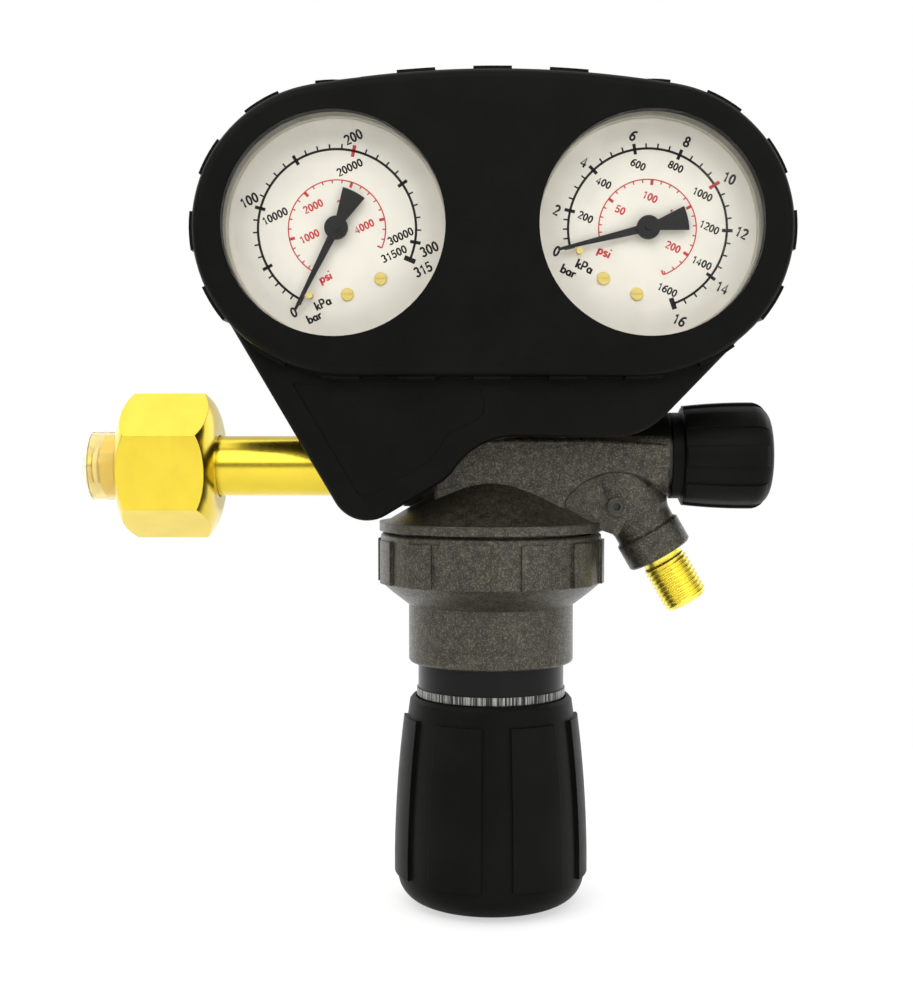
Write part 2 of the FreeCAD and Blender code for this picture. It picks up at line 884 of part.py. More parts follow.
def make_pressure_knob():
    """Moulded adjusting knob, wider towards its rounded foot, with raised lobes."""
    body = new_body("pressure_knob", x=N.reach, spin=N.knob_spin)
    straight = N.knob_shoulder + 6
    flank = 350
    lathe(body, "shell", [
        (0, N.knob_bottom),
        (N.knob_foot_radius, N.knob_bottom, 8.0),
        (N.knob_low_radius, N.knob_shoulder),
        (N.knob_low_radius, straight, flank),
        (N.knob_top_radius, N.knob_top - 1),
        (N.knob_top_radius - 0.8, N.knob_top),
        (N.knob_bore, N.knob_top),
        (N.knob_bore, N.knob_floor),
        (N.screw_radius, N.knob_floor),
        (N.screw_radius, screw_end()),
        (0, screw_end()),
    ])
    outer = N.knob_low_radius + N.lobe_height
    lobe = lathe(body, "lobe", [
        (N.knob_low_radius - 2, N.knob_shoulder),
        (outer, N.knob_shoulder),
        (outer, straight, flank),
        (N.lobe_top_radius, N.lobe_top),
        (N.lobe_top_radius - 2, N.lobe_top),
    ], degrees=N.lobe_angle)
    around(body, lobe, N.knob_lobes, "lobes")
    return body


def make_inlet_stem():
    """One-piece brass stem: nose, hexagon neck, head in the nut, shank and thread."""
    body = new_body("inlet_stem", axis=(0, 1, 0), turn=90)
    groove = N.nose_radius - 0.9
    shank_end = N.reach - N.inlet_boss_reach
    end = shank_end + N.stem_engagement
    lathe(body, "shank", [
        (N.stem_bore, 0),
        (N.nose_radius - 0.5, 0),
        (N.nose_radius, 0.5),
        (N.nose_radius, 1.6),
        (groove, 1.6),
        (groove, 3.6),
        (N.nose_radius, 3.6),
        (N.nose_radius, N.nose_length),
        (N.neck_flats / 2 - 0.2, N.nose_length),
        (N.neck_flats / 2 - 0.2, N.head_start),
        (N.head_radius, N.head_start),
        (N.head_radius, N.head_start + N.head_length),
        (N.stem_radius, N.head_start + N.head_length),
        (N.stem_radius, shank_end),
        (N.stem_thread_radius, shank_end),
        (N.stem_thread_radius, end),
        (N.filter_radius, end),
        (N.filter_radius, end - N.filter_length),
        (N.stem_bore, end - N.filter_length),
    ])
    sketch = new_sketch(body, "XY_Plane", "flats_outline", (0, 0, N.nose_length))
    draw_loop(sketch, hexagon(N.neck_flats, N.nut_turn))
    draw_circle(sketch, 0, 0, N.stem_bore)
    extrude(body, "flats", sketch, N.head_start - N.nose_length)
    return body


def make_inlet_seal():
    body = new_body("inlet_seal", axis=(0, 1, 0), turn=90)
    groove = N.nose_radius - 0.9
    lathe(body, "ring", [
        (groove, 1.8), (groove + 0.6, 1.8, 0.6), (groove + 1.2, 2.4), (groove + 1.2, 2.8, 0.6),
        (groove + 0.6, 3.4), (groove, 3.4),
    ])
    return body


def make_inlet_filter():
    body = new_body("inlet_filter", axis=(0, 1, 0), turn=90)
    end = N.reach - N.inlet_boss_reach + N.stem_engagement
    lathe(body, "plug", tube(0, N.filter_radius, end - N.filter_length, end - 0.2))
    return body


def nut_shoulder_at():
    """Where the shoulder in the nut stands, measured from the nut's front face."""
    return N.nut_length - N.nut_shoulder


def make_nut_slip_ring():
    body = new_body("nut_slip_ring", x=N.nut_start, axis=(0, 1, 0), turn=90)
    inner = N.stem_radius + N.loose_gap
    outer = N.nut_thread_radius - N.loose_gap
    high = nut_shoulder_at() - N.running_gap
    lathe(body, "washer", tube(inner, outer, high - N.slip_washer_thickness, high))
    return body


def make_inlet_nut():
    """Hexagon nut with rounded ends, a threaded mouth and a shoulder behind it."""
    body = new_body("inlet_nut", x=N.nut_start, axis=(0, 1, 0), turn=90)
    prism(body, "hexagon", "XY_Plane", hexagon(N.nut_flats, N.nut_turn), 0, N.nut_length)
    corner = N.nut_flats / (2 * math.cos(math.pi / 6)) + 0.1
    outside = corner + 4
    lathe(body, "front_rounding", [
        (N.nut_end_radius, 0), (outside, 0), (outside, N.nut_cone), (corner, N.nut_cone, -14.0),
    ], cut=True)
    back = N.nut_length
    lathe(body, "back_rounding", [
        (N.nut_end_radius, back, -14.0), (corner, back - N.nut_cone),
        (outside, back - N.nut_cone), (outside, back),
    ], cut=True)
    lathe(body, "mouth", tube(0, N.nut_thread_radius, 0, nut_shoulder_at()), cut=True)
    lathe(body, "shank_hole", tube(0, N.stem_radius + N.loose_gap, 0, N.nut_length), cut=True)
    return body


def make_inlet_cap():
    """Thin moulded cap pushed over the nose and the hexagon neck."""
    body = new_body("inlet_cap", axis=(0, 1, 0), turn=90)
    inner = N.cap_radius - N.cap_wall
    skirt = N.head_start - 0.2
    lathe(body, "cap", [
        (0, -N.cap_tip),
        (N.cap_tip_radius, -N.cap_tip),
        (N.cap_radius, 1.3),
        (N.cap_radius, skirt),
        (inner, skirt),
        (inner, 1.6),
        (N.cap_tip_radius - 0.2, N.cap_wall - N.cap_tip),
        (0, N.cap_wall - N.cap_tip),
    ])
    return body


def make_outlet_nipple():
    body = new_body("outlet_nipple", x=N.reach + N.outlet_x, z=N.arm_height,
                    axis=(0, 1, 0), turn=N.outlet_turn)
    tip = N.collar_end + N.outlet_thread_length
    lathe(body, "nipple", [
        (N.outlet_bore, N.collar_end - N.outlet_socket_depth),
        (N.outlet_neck_radius, N.collar_end - N.outlet_socket_depth),
        (N.outlet_neck_radius, N.collar_end + N.outlet_neck),
        (N.outlet_thread_radius, N.collar_end + N.outlet_neck),
        (N.outlet_thread_radius, tip - 0.8),
        (N.outlet_thread_radius - 0.8, tip),
        (N.outlet_bore + 1, tip),
        (N.outlet_bore, tip - 1.7),
    ])
    return body


def arm_body(label, spin=0.0):
    """A body whose Z axis runs along the valve arm, zero at the body axis."""
    return new_body(label, x=N.reach, z=N.arm_height, axis=(0, 1, 0), turn=90, spin=spin)


def make_outlet_valve_gland():
    body = arm_body("outlet_valve_gland")
    bore = N.spindle_radius + N.running_gap
    high = N.arm_reach + N.gland_flange
    lathe(body, "gland", [
        (bore, N.arm_reach - N.gland_length),
        (N.valve_bore_radius, N.arm_reach - N.gland_length),
        (N.valve_bore_radius, N.arm_reach),
        (N.gland_flange_radius, N.arm_reach),
        (N.gland_flange_radius, high),
        (bore, high),
    ])
    return body


def make_outlet_valve_plug():
    body = arm_body("outlet_valve_plug")
    face = N.valve_seat + 0.05
    back = face + N.plug_length
    lathe(body, "plug", [
        (0, face), (N.plug_radius - 1, face), (N.plug_radius, face + 1), (N.plug_radius, back),
        (0, back),
    ])
    return body


def make_outlet_valve_spindle():
    body = arm_body("outlet_valve_spindle")
    start = N.valve_seat + N.plug_length + 0.1
    lathe(body, "spindle", tube(0, N.spindle_radius, start, valve_knob_end() - 6))
    return body


def make_outlet_valve_knob():
    """Moulded knob with a narrow sleeve, raised lobes and a rounded end."""
    body = arm_body("outlet_valve_knob", spin=-90)
    shoulder = valve_knob_start() + 3.4
    wide = N.valve_knob_radius
    hollow = N.gland_flange_radius + N.loose_gap
    hub = N.arm_reach + N.gland_flange + N.loose_gap
    lathe(body, "shell", [
        (hollow, valve_knob_start()),
        (N.valve_knob_sleeve, valve_knob_start()),
        (N.valve_knob_sleeve, shoulder - 0.4),
        (wide - 1, shoulder, 160),
        (wide, valve_knob_end() - 5.5, 5.2),
        (wide - 4.2, valve_knob_end() - 0.6),
        (0, valve_knob_end()),
        (0, valve_knob_end() - 6),
        (N.spindle_radius, valve_knob_end() - 6),
        (N.spindle_radius, hub),
        (hollow, hub),
    ])
    outer = wide + N.valve_lobe_height
    lobe = lathe(body, "lobe", [
        (wide - 3, shoulder + 0.3),
        (outer - 1, shoulder + 0.3, 160),
        (outer, valve_knob_end() - 5.5, 4.6),
        (wide - 2.6, valve_knob_end() - 1.6),
        (wide - 6, valve_knob_end() - 1.6),
    ], degrees=N.valve_lobe_angle)
    around(body, lobe, N.valve_knob_lobes, "lobes")
    return body


def make_body_screw():
    """Grub screw with a hexagon socket in the outlet boss."""
    body = new_body("body_screw", x=N.reach + N.grub_x, z=N.grub_z, axis=(1, 0, 0), turn=90)
    high = N.grub_front - 0.3
    lathe(body, "thread", tube(0, N.grub_radius, high - N.grub_length, high))
    prism(body, "socket", "XY_Plane", hexagon(N.grub_radius), high - 2, 2, cut=True)
    return body


def gauge_body(label, side, spin=0.0):
    """A body in the frame of one gauge: Z forward, Y up, the pointer's axis at zero."""
    return new_body(label, x=N.reach + side * N.gauge_x, z=N.gauge_z, axis=(1, 0, 0),
                    turn=90, spin=spin)


def make_gauge_case(label, side):
    """Pressed case with a ledge for the dial and a hole for its stem."""
    body = gauge_body(label, side)
    inner = N.gauge_radius - N.gauge_wall
    ledge = N.dial_face - N.dial_thickness
    lathe(body, "pan", [
        (0, N.gauge_back),
        (N.gauge_radius - 1.5, N.gauge_back, 1.5),
        (N.gauge_radius, N.gauge_back + 1.5),
        (N.gauge_radius, N.gauge_rim),
        (inner, N.gauge_rim),
        (inner, ledge),
        (inner - 2.5, ledge),
        (inner - 2.5, ledge - 1.2),
        (inner, ledge - 1.2),
        (inner, N.gauge_back + N.gauge_wall),
        (0, N.gauge_back + N.gauge_wall),
    ])
    lathe(body, "stem_hole", tube(0, N.socket_radius + N.running_gap, N.gauge_radius - 6,
          N.gauge_radius + 3), (0, 0, N.stem_depth), side * (180 - N.gauge_lean), cut=True,
          plane="XY_Plane")
    return body


def make_gauge_stem(label, side):
    """Gauge stem along its leaning axis: socket in the case, square, thread."""
    turn = -side * (180 - N.gauge_lean)
    body = new_body(label, x=N.reach + side * N.gauge_x, y=-N.stem_depth, z=N.gauge_z,
                    axis=(0, 1, 0), turn=turn)
    end = N.gauge_boss_start + N.gauge_port_depth
    square = N.gauge_radius + 4.5
    lathe(body, "stem", [
        (1, 15), (N.socket_radius, 15), (N.socket_radius, square),
        (N.outlet_thread_radius - 1, square), (N.outlet_thread_radius - 1, N.gauge_boss_start),
        (N.outlet_thread_radius, N.gauge_boss_start), (N.outlet_thread_radius, end - 0.5),
        (N.outlet_thread_radius - 0.5, end), (1, end),
    ])
    half = N.stem_square / 2
    sketch = new_sketch(body, "XY_Plane", "square_outline", (0, 0, square))
    draw_loop(sketch, [(-half, -half), (half, -half), (half, half), (-half, half)])
    draw_circle(sketch, 0, 0, 1)
    extrude(body, "square", sketch, N.gauge_boss_start - 1.2 - square)
    return body


def make_bourdon_tube(label, side):
    """Flat curved tube that starts at the socket and runs round the case."""
    middle = N.gauge_lean + 25
    body = gauge_body(label, side, spin=middle if side < 0 else 180 - middle)
    radius = N.gauge_radius - 9
    lathe(body, "tube", [
        (radius - 1.2, 9.9, 1.2), (radius + 1.2, 9.9), (radius + 1.2, 14.7, 1.2),
        (radius - 1.2, 14.7),
    ], degrees=250)
    return body


def make_movement(label, side):
    """Two brass plates on pillars, with the hole for the pointer's staff."""
    spin = side * (180 - N.gauge_lean.number)
    body = gauge_body(label, side, spin=spin)
    plate = [(-5.5, -7), (5.5, -7), (5.5, 18), (-5.5, 18)]
    low = N.stem_depth + N.socket_radius + 0.2
    prism(body, "rear_plate", "XY_Plane", plate, low, 1.2)
    for index, up in enumerate((-5, 8)):
        rod(body, f"pillar_{index}", "XY_Plane", 3.5, up, 1.2, low + 0.6, 6)
    prism(body, "front_plate", "XY_Plane", plate, low + 6, 1.2)
    rod(body, "staff_hole", "XY_Plane", 0, 0, N.staff_radius + N.running_gap, low - 1, 10,
        cut=True)
    return body


def dial_spots(side):
    """Places on the dial: its two screws and the stop pin, from the pointer's axis."""
    lean = -side * N.gauge_lean
    screws = []
    for across in (-5, 5):
        up = -17.3
        screws.append((across * cosine(lean) - up * sine(lean),
                       across * sine(lean) + up * cosine(lean)))
    pin = polar(19.6, 248.2 if side < 0 else 198.6)
    return screws, pin


def make_dial(label, side):
    body = gauge_body(label, side)
    low = N.dial_face - N.dial_thickness
    rod(body, "disc", "XY_Plane", 0, 0, N.dial_radius, low, N.dial_thickness)
    rod(body, "staff_hole", "XY_Plane", 0, 0, N.staff_radius + 0.7, low, 1, cut=True)
    screws, pin = dial_spots(side)
    for index, spot in enumerate(screws):
        rod(body, f"screw_hole_{index}", "XY_Plane", *spot, 0.9, low, 1, cut=True)
    rod(body, "pin_hole", "XY_Plane", *pin, 0.6, low, 1, cut=True)
    return body


def make_dial_screws(label, side):
    """Two cheese-head screws that hold the dial."""
    part = doc.addObject("Part::Feature", label)
    part.Label = label
    solids = []
    front = FreeCAD.Vector(0, 0, 1)
    face = N.dial_face.number
    for across, up in dial_spots(side)[0]:
        spot = FreeCAD.Vector(across.number, up.number, face - 3)
        shank = Part.makeCylinder(0.9, 3, spot, front)
        head = Part.makeCylinder(1.75, 0.8, spot + front * 3, front)
        head = head.makeFillet(0.3, [edge for edge in head.Edges
                                     if edge.CenterOfMass.z > face + 0.7])
        slot = Part.makeBox(4, 0.4, 0.4, spot + FreeCAD.Vector(-2, -0.2, 3.5))
        solids.append(shank.fuse(head).cut(slot))
    part.Shape = Part.makeCompound(solids)
    place = FreeCAD.Vector((N.reach + side * N.gauge_x).number, 0, N.gauge_z.number)
    part.Placement = FreeCAD.Placement(place, FreeCAD.Rotation(FreeCAD.Vector(1, 0, 0), 90))
    return part


def make_stop_pin(label, side):
    body = gauge_body(label, side)
    pin = dial_spots(side)[1]
    low = N.dial_face - N.dial_thickness
    rod(body, "shank", "XY_Plane", *pin, 0.6, low, N.dial_thickness)
    rod(body, "pin", "XY_Plane", *pin, 0.85, N.dial_face, N.pointer_height + 1.2)
    return body


def make_pointer(label, side):
    """Pointer with a long blade, a hub, a fan-shaped tail and its staff."""
    body = gauge_body(label, side, spin=243.0 if side < 0 else 193.6)
    low = N.dial_face + N.pointer_height
    tail = N.pointer_tail
    prism(body, "blade", "XY_Plane", [
        (2, -1.1), (N.pointer_tip, -0.35), (N.pointer_tip, 0.35), (2, 1.1), (-2, 1.2),
        (0 - tail, 3.3, 18), (0 - tail, -3.3), (-2, -1.2),
    ], low, N.pointer_thickness)
    rod(body, "hub", "XY_Plane", 0, 0, N.pointer_hub_radius, low - 0.4, N.pointer_thickness + 1)
    start = N.stem_depth + N.socket_radius + 0.4
    rod(body, "staff", "XY_Plane", 0, 0, N.staff_radius, start, low - start + 2.2)
    return body


def make_lens(label, side):
    """Clear cup: window disc with a side wall that stands on the case."""
    body = gauge_body(label, side)
    inner = N.gauge_radius - N.lens_thickness
    lathe(body, "cup", [
        (0, N.lens_front - N.lens_thickness),
        (inner, N.lens_front - N.lens_thickness),
        (inner, N.gauge_rim),
        (N.gauge_radius, N.gauge_rim),
        (N.gauge_radius, N.lens_front - 0.6),
        (N.gauge_radius - 0.6, N.lens_front),
        (0, N.lens_front),
    ])
    return body


def visor_top_lean():
    """Half of the angle that the visor's arched top spans."""
    return arc_sine(N.visor_x / (N.visor_top_radius - N.visor_radius))


def visor_path(inset):
    """Outline of the visor: level floor, rounded corners, round sides, arched top."""
    radius = N.visor_radius - inset
    top = N.visor_top_radius - inset
    floor = N.visor_bottom + inset
    fall = sine(N.visor_corner_turn)
    corner = (N.visor_z - floor - radius * fall) / (1 - fall)
    floor_x = N.visor_x - (corner - radius) * cosine(N.visor_corner_turn)
    low_x = N.visor_x + radius * cosine(N.visor_corner_turn)
    low_z = N.visor_z - radius * fall
    lean = visor_top_lean()
    high_x = N.visor_x + radius * sine(lean)
    high_z = N.visor_z + radius * cosine(lean)
    return [
        (-floor_x, floor),
        (floor_x, floor, corner),
        (low_x, low_z, radius),
        (high_x, high_z, top),
        (-high_x, high_z, radius),
        (-low_x, low_z, corner),
    ]


def apron_path(inset, top):
    """Outline of the apron, counter-clockwise from its upper left corner."""
    lean, rise, steep = N.apron_left_lean, N.apron_rise, N.apron_steep
    fall, right = N.apron_fall, N.apron_right_lean
    tip = N.apron_tip_radius
    tip_z = N.apron_tip_bottom + tip
    tip_x = (N.apron_top - tip_z) * tangent(lean) + tip / cosine(lean) - N.apron_left
    left = (tip_x - (tip - inset) * cosine(lean), tip_z - (tip - inset) * sine(lean))
    start = (tip_x + (tip - inset) * sine(rise), tip_z - (tip - inset) * cosine(rise))
    outer = (tip_x + tip * sine(rise), tip_z - tip * cosine(rise))
    bend = N.apron_bend_radius
    bend_x = N.apron_rise_end - bend * sine(rise)
    bend_z = outer[1] + (N.apron_rise_end - outer[0]) * tangent(rise) + bend * cosine(rise)
    brow = N.apron_brow_radius
    brow_x = bend_x + (bend + brow) * sine(steep)
    brow_z = bend_z - (bend + brow) * cosine(steep)
    corner = N.apron_corner_radius
    brow_end_z = brow_z + brow * cosine(fall) - (N.apron_brow_end - brow_x
                                                 - brow * sine(fall)) * tangent(fall)
    corner_x = N.apron_brow_end + corner * sine(fall)
    corner_z = brow_end_z + corner * cosine(fall)
    last = (corner_x + (corner - inset) * sine(right), corner_z - (corner - inset) * cosine(right))
    return [
        (left[0] - (top - left[1]) * tangent(lean), top),
        (*left, tip - inset),
        start,
        (bend_x + (bend - inset) * sine(rise), bend_z - (bend - inset) * cosine(rise),
         bend - inset),
        (bend_x + (bend - inset) * sine(steep), bend_z - (bend - inset) * cosine(steep),
         -(brow + inset)),
        (brow_x + (brow + inset) * sine(fall), brow_z + (brow + inset) * cosine(fall)),
        (corner_x - (corner - inset) * sine(fall), corner_z - (corner - inset) * cosine(fall),
         corner - inset),
        last,
        (last[0] + (top - last[1]) / tangent(right), top),
    ]


def cover_screw_places():
    return [(0, N.cover_screw_low), (0, N.cover_screw_high)]


def make_gauge_shroud():
    """Moulded shroud: visor round both gauges, apron below, saddle over the valve arm."""
    body = new_body("gauge_shroud", x=N.reach, axis=(1, 0, 0), turn=90)
    depth = N.visor_front - N.visor_back
    prism(body, "apron", "XY_Plane", apron_path(0, N.apron_top), N.apron_back,
          N.apron_front - N.apron_back)
    round_front(body, "apron_rounding", N.apron_edge, N.apron_front)
    prism(body, "visor", "XY_Plane", visor_path(0), N.visor_back, depth)
    round_front(body, "visor_rounding", N.visor_edge, N.visor_front)
    add_treads(body)
    face = N.visor_front - N.visor_face
    prism(body, "visor_hollow", "XY_Plane", visor_path(N.visor_wall), N.visor_back,
          face - N.visor_back, cut=True)
    prism(body, "apron_hollow", "XY_Plane", apron_path(N.apron_wall, N.visor_bottom),
          N.apron_back, N.apron_front - N.apron_face - N.apron_back, cut=True)
    for side in (-1, 1):
        rod(body, f"window_{side + 1}", "XY_Plane", side * N.gauge_x, N.gauge_z,
            N.window_radius, face - 1, N.visor_face + 2, cut=True)
        cut_stem_slot(body, side)
    add_saddle(body)
    for index, (across, up) in enumerate(cover_screw_places()):
        rod(body, f"cover_boss_{index}", "XY_Plane", across, up, N.cover_screw_radius * 2.3,
            N.visor_back + N.back_thickness, face - N.visor_back - N.back_thickness + 1)
        rod(body, f"cover_hole_{index}", "XY_Plane", across, up, N.cover_screw_radius,
            N.visor_back + N.back_thickness, 10, cut=True)
    cut_plate_recess(body)
    return body


def round_front(body, name, radius, front):
    """Round every edge that lies in the plane at front."""
    level = front.number - 0.01
    dress(body, "Fillet", name, radius, lambda edge: edge.BoundBox.ZMin > level)


def tread_on_arc(centre, radius, angle):
    """One tread block on a round stretch of the rim, centred at angle."""
    half = N.tread_length / radius * (90 / math.pi)
    inner, outer = radius - 1, radius + N.tread_height
    corners = []
    for reach, turn, bulge in ((inner, angle - half, None), (outer, angle - half, outer),
                               (outer, angle + half, None), (inner, angle + half, -inner)):
        across, up = polar(reach, turn)
        corner = (centre[0] + across, centre[1] + up)
        corners.append(corner if bulge is None else (*corner, bulge))
    return corners


def tread_outlines():
    """Outlines of the tread blocks round the visor, in groups by stretch of the rim."""
    half = N.tread_length / 2
    low, high = N.visor_bottom - N.tread_height, N.visor_bottom + 1
    degree = 180 / math.pi
    floor_x, _, corner = visor_path(0)[1]
    groups = {"floor": [], "top": []}
    for count in (-1, 0, 1):
        middle = N.tread_pitch * count
        groups["floor"].append([(middle - half, low), (middle + half, low),
                                (middle + half, high), (middle - half, high)])
    past = N.tread_pitch * 4 - floor_x - corner * N.visor_corner_turn / degree
    for side, word in ((-1, "left"), (1, "right")):
        centre = (side * floor_x, N.visor_bottom + corner)
        turns = [(N.tread_pitch * count - floor_x) / corner * degree for count in (2, 3)]
        groups[f"{word}_corner"] = [tread_on_arc(centre, corner, -90 + side * turn)
                                    for turn in turns]
        turns = [N.visor_corner_turn + (past + N.tread_pitch * count) / N.visor_radius * degree
                 for count in range(5)]
        groups[f"{word}_side"] = [
            tread_on_arc((side * N.visor_x, N.visor_z), N.visor_radius, -90 + side * turn)
            for turn in turns]
    top = N.visor_top_radius
    centre = (0, visor_path(0)[3][1] - top * cosine(visor_top_lean()))
    for count in (-1, 0, 1):
        turn = N.tread_pitch * count / top * degree
        groups["top"].append(tread_on_arc(centre, top, 90 + turn))
    return groups


def add_treads(body):
    """Raised blocks at an even pitch along the rim of the visor."""
    start = N.visor_back + 2
    for word, outlines in tread_outlines().items():
        sketch = new_sketch(body, "XY_Plane", f"treads_{word}_outline", (0, 0, start))
        for outline in outlines:
            draw_loop(sketch, outline)
        extrude(body, f"treads_{word}", sketch, N.visor_front - N.visor_edge - start)


def cut_stem_slot(body, side):
    """Opening in the visor's floor for one gauge stem."""
    near = side * 12.5
    far = side * 35.0
    floor = N.visor_bottom
    corners = [(near, -4.9), (far, -4.9), (far, 14), (near, 14)]
    if side < 0:
        corners.reverse()
    name = f"stem_slot_{side + 1}"
    prism(body, name, "XZ_Plane", corners, -(floor + N.visor_wall + 2), N.visor_wall + 4,
          cut=True)


def add_saddle(body):
    """Web and half-round saddle that seat the shroud on the valve arm."""
    outer = N.arm_radius + N.loose_gap / 2 + N.saddle_wall
    inner = N.arm_radius + N.loose_gap / 2
    drop = N.saddle_low - N.arm_height
    wide = size(math.sqrt(outer.number ** 2 - drop.number ** 2))
    prism(body, "web", "XY_Plane", [
        (N.saddle_start + 4, N.arm_height + 6), (N.apron_brow_end + 4, N.arm_height + 6),
        (N.apron_brow_end + 4, N.visor_bottom + 1), (N.saddle_start + 4, N.visor_bottom + 1),
    ], -4, N.apron_back + 5)
    prism(body, "saddle", "YZ_Plane", [
        (N.saddle_low, -wide), (N.saddle_low + 0.1, -wide, outer), (N.saddle_low + 0.1, wide),
        (N.saddle_low, wide),
    ], N.saddle_start, saddle_end() - N.saddle_start)
    rod(body, "arm_room", "YZ_Plane", N.arm_height, 0, inner, N.saddle_start - 20,
        saddle_end() - N.saddle_start + 21, cut=True)


def cut_plate_recess(body):
    """Shallow bare recess on the apron, as a name plate would have."""
    path = apron_path(N.plate_inset, N.plate_top)[:5]
    brow = path[4]
    path[4] = (brow[0], brow[1])
    right = N.plate_right
    path += [
        (right - 10, N.plate_top - 14), (right - 1.5, N.plate_top - 9.5, 5.0),
        (right, N.plate_top - 5, 5.0), (right - 5, N.plate_top),
    ]
    prism(body, "plate_recess", "XY_Plane", path, N.apron_front - N.plate_recess,
          N.plate_recess + 1, cut=True)


def make_shroud_back():
    """Flat cover that closes the visor from behind, with countersunk screw holes."""
    body = new_body("shroud_back", x=N.reach, axis=(1, 0, 0), turn=90)
    prism(body, "plate", "XY_Plane", visor_path(N.visor_wall + N.running_gap), N.visor_back,
          N.back_thickness)
    for index, (across, up) in enumerate(cover_screw_places()):
        rod(body, f"hole_{index}", "XY_Plane", across, up, N.cover_screw_radius + 0.2,
            N.visor_back, N.back_thickness, cut=True)
    return body


def make_back_screws():
    """Two pan-head screws through the cover into the shroud's bosses."""
    part = doc.addObject("Part::Feature", "back_screws")
    part.Label = "back_screws"
    solids = []
    forward = FreeCAD.Vector(0, 0, 1)
    back = N.visor_back.number
    radius = N.cover_screw_radius.number
    for across, up in cover_screw_places():
        spot = FreeCAD.Vector(size(across).number, size(up).number, back)
        shank = Part.makeCylinder(radius, N.back_thickness.number + 7, spot, forward)
        head = Part.makeCylinder(radius * 2, 1.8, spot - forward * 1.8, forward)
        socket = Part.makeCylinder(radius * 0.8, 1.2, spot - forward * 1.8, forward)
        solids.append(shank.fuse(head).cut(socket))
    part.Shape = Part.makeCompound(solids)
    place = FreeCAD.Vector(N.reach.number, 0, 0)
    part.Placement = FreeCAD.Placement(place, FreeCAD.Rotation(FreeCAD.Vector(1, 0, 0), 90))
    return part


def relief_body(label):
    """A body whose Z axis points backwards out of the relief boss."""
    return new_body(label, x=N.reach + N.relief_x, z=N.arm_height, axis=(1, 0, 0), turn=-90)


def make_relief_housing():
    body = relief_body("relief_housing")
    start = N.relief_start
    end = start + N.relief_length
    bore = N.relief_bore + N.running_gap
    prism(body, "hexagon", "XY_Plane", hexagon(N.relief_flats), start, 6)
    lathe(body, "tube", [
        (0, start - 5), (N.relief_thread_radius, start - 5), (N.relief_thread_radius, start + 5),
        (N.relief_flats / 2 - 1, start + 5), (N.relief_flats / 2 - 1, end - 1),
        (N.relief_flats / 2 - 2, end), (0, end),
    ])
    lathe(body, "bore", [
        (0, start - 6), (1.5, start - 6), (1.5, start - 2), (bore, start - 2),
        (bore, end - 2), (1.5, end - 2), (1.5, end + 1), (0, end + 1),
    ], cut=True)
    return body


def make_relief_piston():
    body = relief_body("relief_piston")
    low = N.relief_start - 2 + 0.05
    lathe(body, "piston", [
        (0, low), (N.relief_bore, low), (N.relief_bore, low + 3.5),
        (N.relief_bore / 3, low + 3.5), (N.relief_bore / 3, low + 5.5), (0, low + 5.5),
    ])
    return body


def make_relief_spring():
    body = relief_body("relief_spring")
    low = N.relief_start + 1.65
    high = N.relief_start + N.relief_length - 2.1
    coil(body, N.relief_bore * 0.65, N.relief_bore / 5, low, high, 4)
    return body


def make_gauges():
    """The high and low pressure gauges, alike apart from the way they lean."""
    makers = {
        "gauge_case": make_gauge_case, "gauge_stem": make_gauge_stem,
        "bourdon_tube": make_bourdon_tube, "movement": make_movement, "dial": make_dial,
        "dial_screws": make_dial_screws, "stop_pin": make_stop_pin, "pointer": make_pointer,
        "lens": make_lens,
    }
    return [make(f"{word}_{name}", side) for word, side in (("high", -1), ("low", 1))
            for name, make in makers.items()]


def make_all():
    """Every sub-part of the regulator, each a document object with its own label."""
    makers = [
        make_regulator_body, make_bonnet, make_gas_band, make_neck_ring, make_diaphragm,
        make_slip_ring, make_diaphragm_plate, make_seat_capsule, make_valve_poppet,
        make_poppet_spring, make_main_spring, make_spring_button, make_adjusting_screw,
        make_pressure_knob, make_inlet_stem, make_inlet_seal, make_inlet_filter,
        make_nut_slip_ring, make_inlet_nut, make_inlet_cap, make_outlet_nipple,
        make_outlet_valve_gland, make_outlet_valve_plug, make_outlet_valve_spindle,
        make_outlet_valve_knob, make_body_screw, make_gauge_shroud, make_shroud_back,
        make_back_screws, make_relief_housing, make_relief_piston, make_relief_spring,
    ]
    return [make() for make in makers] + make_gauges()


def check(pieces):
    """Stop with a plain message where a feature failed or a shape isn't sound."""
    for item in doc.Objects:
        if "Invalid" in item.State or "Error" in item.State:
            raise RuntimeError(f"{item.Label} ({item.Name}) failed: {item.State}")
    for piece in pieces:
        if piece.Shape.isNull() or not piece.Shape.isValid() or not piece.Shape.Solids:
            raise RuntimeError(f"{piece.Label} has no sound solid")


def main():
    pieces = make_all()
    doc.recompute()
    check(pieces)
    os.makedirs("parts", exist_ok=True)
    for piece in pieces:
        piece.Shape.exportStep(f"parts/{piece.Label}.step")
        print(piece.Label, len(piece.Shape.Solids), round(piece.Shape.Volume, 1))


main()
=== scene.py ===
"""Looks of the gas pressure regulator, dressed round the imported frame. Sizes in metres."""
import bmesh
import bpy
import math
from mathutils import Matrix, Vector


